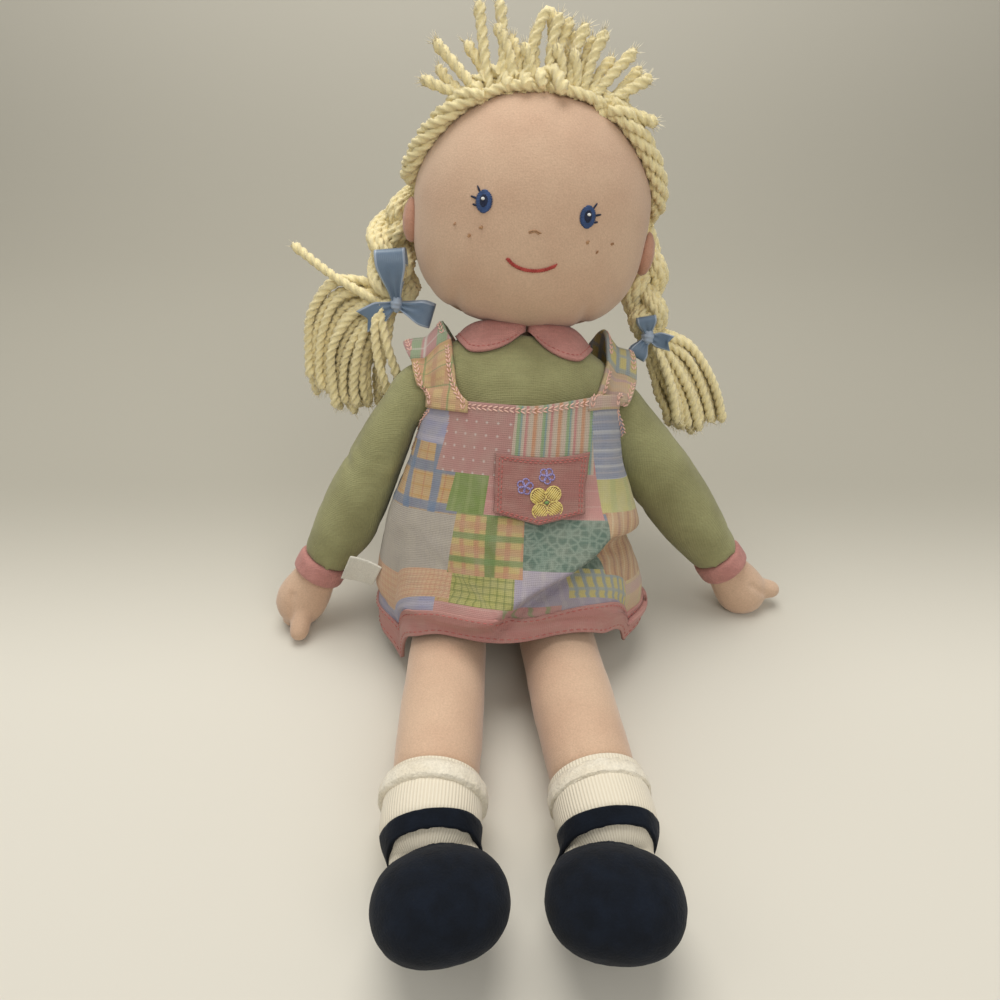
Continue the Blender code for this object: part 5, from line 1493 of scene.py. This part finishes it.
# Fringe: cut ends stand up behind the hairline, as (x, z) routes in mm, the y each leans to and its radius
fringe = [
    ([(-28, 43), (-36, 50), (-47.5, 60)], -20, 2.5), ([(-27, 40), (-38, 42), (-52, 46)], -20, 2.4),
    ([(-23, 43), (-27, 58), (-31, 76)], -18, 2.5), ([(-19, 43), (-19, 58), (-22.5, 77)], -19, 2.5),
    ([(-15, 43), (-16, 56), (-23, 68)], -22, 2.4), ([(-10, 44), (-13, 58), (-17, 66)], -14, 2.3),
    ([(-9, 44), (-8, 60), (-4.5, 73), (-1.5, 74), (0.5, 66)], -19, 2.5), ([(-4, 45), (-6.5, 60), (-7, 70)], -13, 2.4),
    ([(1, 45), (0, 62), (2, 74.5)], -21, 2.5), ([(4, 45), (3, 60), (6.5, 74)], -17, 2.5),
    ([(8, 45), (7, 58), (9, 70)], -13, 2.4), ([(9, 45), (9.5, 60), (13, 72)], -21, 2.6),
    ([(13, 45), (14, 58), (17, 68.5)], -16, 2.5), ([(14, 45), (17, 60), (21, 70)], -22, 2.6),
    ([(18, 44), (21, 55), (26, 62)], -15, 2.5), ([(18, 44), (25, 54), (34, 65)], -20, 2.6),
    ([(20, 42), (30, 48), (42, 56)], -21, 2.6), ([(22, 40), (34, 42), (47, 39)], -23, 2.5),
    ([(-5, 44), (-8, 56), (-12, 62)], -24, 2.3), ([(4, 44), (5, 55), (1, 63)], -25, 2.3),
    ([(12, 44), (11, 55), (8, 62)], -25, 2.3), ([(-21, 42), (-27, 52), (-35, 62)], -14, 2.4),
    ([(24, 41), (31, 51), (38, 60)], -14, 2.4), ([(-30, 40), (-40, 46), (-46, 52)], -13, 2.3),
    # short ends that curl forward over the hairline
    ([(-20, 52), (-25, 52), (-25, 45)], -31, 2.9), ([(-17, 53), (-11, 51), (-7.5, 44)], -32, 3.0),
    ([(-4, 50), (1.5, 48), (6.0, 43)], -32, 3.0), ([(-26, 49), (-30, 46), (-29, 41)], -29, 2.6),
    ([(14, 49), (17, 48), (18, 44)], -30, 2.6), ([(-12, 50), (-16, 47), (-15, 43)], -30, 2.4),
    ([(24, 46), (30, 43), (33, 38)], -27, 2.5), ([(-1, 50), (-3, 47), (-2, 44)], -30, 2.4),
]


# A strand whose y is below -25 is a short end, which lies on the forehead
def fringeStrands():
    strands = []
    for route, y, radius in fringe:
        isShort = y < -25
        points = []
        for k, (x, z) in enumerate(route):
            share = k / (len(route) - 1)
            if isShort and k:
                points.append(onHead(x, z, radius + (3.4 if k == 1 else 0.8))[0])
            else:
                points.append(inHead((x, -24 + (y + 24) * share, z)))
        strands.append((points, radius, True))
    return strands


# Braids: three bundles cross in a flat figure of eight, a lobe every 18.6 mm down each side
braid = {
    "wave": 56, "across": 6.0, "deep": 4.0, "bundle": 3.9, "yarns": 7, "radius": 2.4,
    "left": {"top": -14.5, "full": 1.12, "rows": [(-52.0, 18.0, 6), (-59.0, 17.0, -4.0), (-64.0, 14.5, -14.0),
                                    (-64.5, 11.5, -24.0), (-62.5, 8.6, -33.0), (-60.8, 7.0, -42.0),
                                    (-60.4, 6.5, -51.0)]},
    "right": {"top": -22.8, "full": 1.0, "rows": [(53.0, 16.0, 0), (56.5, 14.0, -10.8), (58.5, 12.0, -20.5),
                                     (59.5, 10.0, -29.2), (61.0, 8.6, -38.9), (63.0, 7.0, -47.5),
                                     (64.4, 6.5, -54.0)]},
}


def braidStrands(side):
    table = [(-row[2], row[0], row[1]) for row in braid[side]["rows"]]
    first, last = table[0][0], table[-1][0]
    strands = []
    for bundle in range(3):
        for k in range(braid["yarns"]):
            points = []
            for j in range(25):
                down = first + (last - first) * j / 24
                x, y = eased(table, down)
                turn = sides[side] * 2 * math.pi * ((down + braid[side]["top"]) / braid["wave"] - bundle / 3)
                gather = smoothStep(last, last - 12, down) * (0.35 + 0.65 * smoothStep(first, first + 16, down))
                gather = (0.28 + 0.72 * gather) * braid[side]["full"]
                x += sides[side] * braid["across"] * math.cos(turn) * gather
                y += braid["deep"] * math.sin(2 * turn) * gather
                own = 2 * math.pi * k / braid["yarns"] + down / 14
                x += braid["bundle"] * math.cos(own) * gather * 0.9
                y += braid["bundle"] * math.sin(own) * gather
                z = -down + 1.2 * math.sin(own) * gather
                points.append(inHead((x, y, z)))
            strands.append((points, braid["radius"], False))
    return strands


# Tassels: the same yarns spread below the ribbon, arch up at the outer side and fall
tassel = {
    "count": 30, "radius": 2.45, "deep": 9.0,
    "left": {"outer": [(-61, -46), (-76, -38), (-94, -38), (-104, -54), (-106, -78), (-103, -99)],
             "middle": [(-61, -47), (-70, -51), (-80, -62), (-86, -77), (-87, -92), (-85, -106)],
             "inner": [(-61, -48), (-61, -57), (-62, -67), (-63, -78), (-63, -89), (-62, -99)],
             "extra": [[(-64, 2, -50), (-76, 0, -44), (-92, 4, -37), (-112, 12, -26)],
                       [(-62, 0, -47), (-66, -4, -50), (-62, -6, -66), (-56, -4, -82)],
                       [(-62, 0, -48), (-68, -5, -56), (-66, -5, -74), (-60, -2, -92)]]},
    "right": {"outer": [(64, -50), (76, -48), (89, -53), (100, -63), (108, -76), (113, -89)],
              "middle": [(64, -51), (71, -57), (79, -67), (87, -78), (93, -89), (96, -98)],
              "inner": [(64, -52), (65, -60), (69, -69), (74, -79), (79, -88), (82, -96)],
              "extra": [[(66, 1, -52), (71, -4, -60), (78, -5, -74), (84, -2, -90)]]},
}


def tasselStrands(side):
    maker = random.Random(21 + sides[side])
    facts, strands, goldenAngle = tassel[side], [], 2.39996
    for k in range(tassel["count"]):
        reach = math.sqrt((k + 0.5) / tassel["count"])
        a, b = reach * math.cos(k * goldenAngle), reach * math.sin(k * goldenAngle)
        cut = maker.uniform(0.84, 1.03)
        rim = facts["outer"] if a > 0 else facts["inner"]
        points = []
        for j, (middle, edge) in enumerate(zip(facts["middle"], rim)):
            x = middle[0] + (edge[0] - middle[0]) * abs(a)
            z = middle[1] + (edge[1] - middle[1]) * abs(a)
            share = j / (len(rim) - 1)
            y = 6.5 + 8.5 * share + b * tassel["deep"] * min(1, 0.35 + share * 1.3) * (1 - 0.2 * share)
            spot = Vector((x, y, z))
            if j:
                spot += Vector([maker.uniform(-0.9, 0.9) for _ in range(3)])
            points.append(spot)
        points[-1] = points[-2] + (points[-1] - points[-2]) * (1 - (1 - cut) * 3.4)
        points = [inHead(spot) for spot in points]
        strands.append((points, tassel["radius"] * maker.uniform(0.94, 1.05), True))
    for extra in facts["extra"]:
        strands.append(([inHead(spot) for spot in extra], tassel["radius"], True))
    return strands


buildHairBase()
finish(yarnPiece("capYarn", capStrands(), 1), "head", "yarn", "hair_cap")
finish(yarnPiece("fringeYarn", fringeStrands(), 2), "head", "yarn", "fringe")
for side in sides:
    for kind, strands, seed in (("braid", braidStrands(side), 4), ("tassel", tasselStrands(side), 5)):
        piece = yarnPiece(kind + "Yarn" + side.title(), strands, seed)
        finish(piece, "braid_" + side, "yarn", kind + "_" + side)


# Loose fibres stand off the cut ends of the yarn, so that its outline is soft
def yarnFuzz(name, strands, seed, perEnd, perLength):
    maker = random.Random(seed)
    bm = bmesh.new()
    for points, radius, _ in strands:
        route = evenRoute(points, 1.0)
        spots = [len(route) - 1 - maker.randint(0, 4) for _ in range(perEnd)]
        spots += [maker.randint(1, len(route) - 2) for _ in range(round(perLength * len(route)))]
        for at in spots:
            along = (route[min(len(route) - 1, at + 1)] - route[max(0, at - 1)]).normalized()
            around = Matrix.Rotation(maker.uniform(0, math.tau), 3, along) @ along.orthogonal().normalized()
            way = (along * maker.uniform(0.6, 1.4) + around * maker.uniform(0.3, 1.0)).normalized()
            long = maker.uniform(2.0, 4.0) if at > len(route) - 4 else maker.uniform(1.5, 3.0)
            start = route[at] + around * radius * maker.uniform(0.3, 0.85) * mm
            turn = way.to_track_quat("Z", "Y").to_matrix().to_4x4()
            turn.translation = start + way * long / 2 * mm
            bmesh.ops.create_cone(bm, segments=3, radius1=0.17 * mm, radius2=0.03 * mm, depth=long * mm,
                                  cap_ends=True, matrix=turn)
    piece = makePiece(name, bm, woolYarn)
    setAttribute(piece.data, "tip", [0.8] * len(piece.data.vertices))
    return piece


shortEnds = sum(y < -25 for _, y, _ in fringe)
finish(yarnFuzz("fringeFuzz", fringeStrands()[:-shortEnds], 31, 26, 0.7), "head", "yarn")
for side in sides:
    finish(yarnFuzz("tasselFuzz" + side.title(), tasselStrands(side), 32, 12, 0.3), "braid_" + side, "yarn")
print("stage: yarn hair")


# Satin bows: each loop is a flat ribbon that runs out, turns over at its tip and comes back to the knot
def satinMaterial():
    made, tree, shader = startMaterial("dustyBlueSatinRibbon", 0.36, 0.05)
    shader.inputs["Specular IOR Level"].default_value = 0.5
    shader.inputs["Anisotropic"].default_value = 0.5
    place = addNode(tree, "UVMap", uv_map="cloth").outputs[0]
    tint = mixed(tree, cloudy(tree, place, 0.15, 2.0), "#74889C", "#566A80")
    edge = calc(tree, "ABSOLUTE", addNode(tree, "SeparateXYZ", {0: place}).outputs[0])
    tint = mixed(tree, ranged(tree, edge, 4.1, 4.4, 0.0, 0.5), tint, "#C3CEDC")
    surface(tree, shader, tint, woven(tree, place, 0.6, "X"), 0.05)
    return made


satin = satinMaterial()
# Each loop is (length, width, turn in degrees, puff, lean) and each tail the same without a lean, in mm
bows = {
    "left": {"knot": (-58.8, -3.4, -47.0), "loops": [(25, 14, 100, 5.2, 12), (18, 11.5, -12, 3.4, -5)],
             "tails": [(19, 11, 212, -1.5)]},
    "right": {"knot": (62.0, -3.4, -49.8), "loops": [(10, 9, 105, 2.6, 4), (11, 9, -114, 2.4, -2)],
              "tails": [(12, 7.5, -8, 1.0)]},
}


def ribbonPlace(knot, long, wide, turn, puff, lean, isLoop):
    way = Vector((math.cos(math.radians(turn)), 0, math.sin(math.radians(turn))))
    over = Vector((-way.z, 0, way.x))

    def place(across, down):
        side = across * 2 - 1
        if isLoop:
            t = 1 - abs(2 * down - 1)
            out = long * math.sin(t * math.pi / 2)
            deep = puff * math.sin(t * math.pi) ** 0.7 * (-1 if down < 0.5 else 1)
            if t > 0.85:
                deep *= 1 - smoothStep(0.85, 1.0, t) * 0.35
        else:
            t, out = down, long * down
            deep = puff * math.sin(down * 4.2)
        width = wide * (0.30 + 0.70 * smoothStep(0, 0.55, t))
        crimp = 0.7 * math.sin(side * 7) * (1 - smoothStep(0, 0.6, t))
        notch = 0.18 * long * (1 - abs(side)) * smoothStep(0.7, 1, t) if not isLoop else 0
        spot = Vector(knot) + way * (out - notch) + over * side * width / 2
        spot += Vector((0, deep + crimp - math.radians(lean) * out * side * 0.2 - 1.5 * t, 0))
        return inHead(spot), (side * 5, down * long * (2 if isLoop else 1), 0)
    return place


for side in sides:
    facts = bows[side]
    parts = [(loop, True) for loop in facts["loops"]]
    parts += [((long, wide, turn, puff, 0), False) for long, wide, turn, puff in facts["tails"]]
    for index, ((long, wide, turn, puff, lean), isLoop) in enumerate(parts):
        place = ribbonPlace(facts["knot"], long, wide, turn, puff, lean, isLoop)
        piece = sheetPiece(f"bow{side.title()}Ribbon{index}", 13, 40 if isLoop else 24, place, 0.35, [satin])
        finish(piece, "braid_" + side, "ribbon", "bow_" + side)
    bm = bmesh.new()
    bmesh.ops.create_icosphere(bm, subdivisions=4, radius=1.0)
    layer = bm.loops.layers.uv.new("cloth")
    for vertex in bm.verts:
        way = vertex.co.copy()
        fold = 1 + 0.07 * math.sin(way.z * 11) + 0.05 * noise.noise(way * 3)
        vertex.co = inHead(Vector(facts["knot"]) + Vector((way.x * 3.0, way.y * 3.2, way.z * 3.9)) * fold)
    for facet in bm.faces:
        for loop in facet.loops:
            local = headLocal(loop.vert.co)
            loop[layer].uv = (local.x, local.z)
    finish(makePiece("bow" + side.title() + "Knot", bm, satin), "braid_" + side, "ribbon")
print("stage: bows")


# Plain soft light, and a pale floor that runs up into the backdrop, with painted shade: darker toward the back and
# lighter again up the backdrop
def buildStage():
    bm = bmesh.new()
    bmesh.ops.create_grid(bm, x_segments=2, y_segments=60, size=1)
    for vertex in bm.verts:
        along = vertex.co.y * 1.6 + 0.2
        rise = max(0.0, along - 0.55)
        turn = min(rise / 0.5, math.pi / 2)
        y = min(along, 0.55) + 0.5 * math.sin(turn)
        z = 0.5 * (1 - math.cos(turn)) + max(0.0, rise - 0.5 * math.pi / 2)
        vertex.co = (vertex.co.x * 2.5, y, z)
    made, tree, shader = startMaterial("palePaperFloor", 0.7, 0.0)
    place = addNode(tree, "TexCoord").outputs["Object"]
    split = addNode(tree, "SeparateXYZ", {0: place}).outputs
    tint = mixed(tree, cloudy(tree, place, 2.0, 2.0), "#D8D4C8", "#D2CDC0")
    # Painted shade: a darker band toward the back where floor meets backdrop, then lighter again up the backdrop, for
    # light that falls off
    for axis, low, high, ink in ((1, -0.08, 0.12, "#A9A598"), (2, 0.0, 0.4, "#C6C2B5")):
        tint = mixed(tree, ranged(tree, split[axis], low, high, interpolation_type="SMOOTHSTEP"), tint, ink)
    tree.links.new(tint, shader.inputs["Base Color"])
    makePiece("floorAndBackdrop", bm, made)


def addLight(name, place, target, size, power, colour):
    data = bpy.data.lights.new(name, "AREA")
    data.shape = "DISK"
    data.size = size
    data.energy = power
    data.color = colour
    lamp = bpy.data.objects.new(name, data)
    lamp.location = place
    lamp.rotation_euler = (Vector(target) - Vector(place)).to_track_quat("-Z", "Y").to_euler()
    scene.collection.objects.link(lamp)


# Each light as (place, size, power)
lights = {"key": ((-0.10, 0.35, 1.35), 1.1, 14.3), "fill": ((0.4, -0.9, 0.9), 1.0, 4.8),
          "side": ((-0.9, -0.2, 0.9), 0.9, 1.6)}
buildStage()
for name, (place, size, power) in lights.items():
    addLight(name, place, (0, 0, 0.1), size, power, (1.0, 0.985, 0.96))
sky = {"colour": "#E9E8E6", "strength": 0.42}
world = bpy.data.worlds.new("softSky")
scene.world = world
world.use_nodes = True
background = world.node_tree.nodes["Background"].inputs
background["Color"].default_value = toLinear(sky["colour"])
background["Strength"].default_value = sky["strength"]
print("stage: floor, lights")
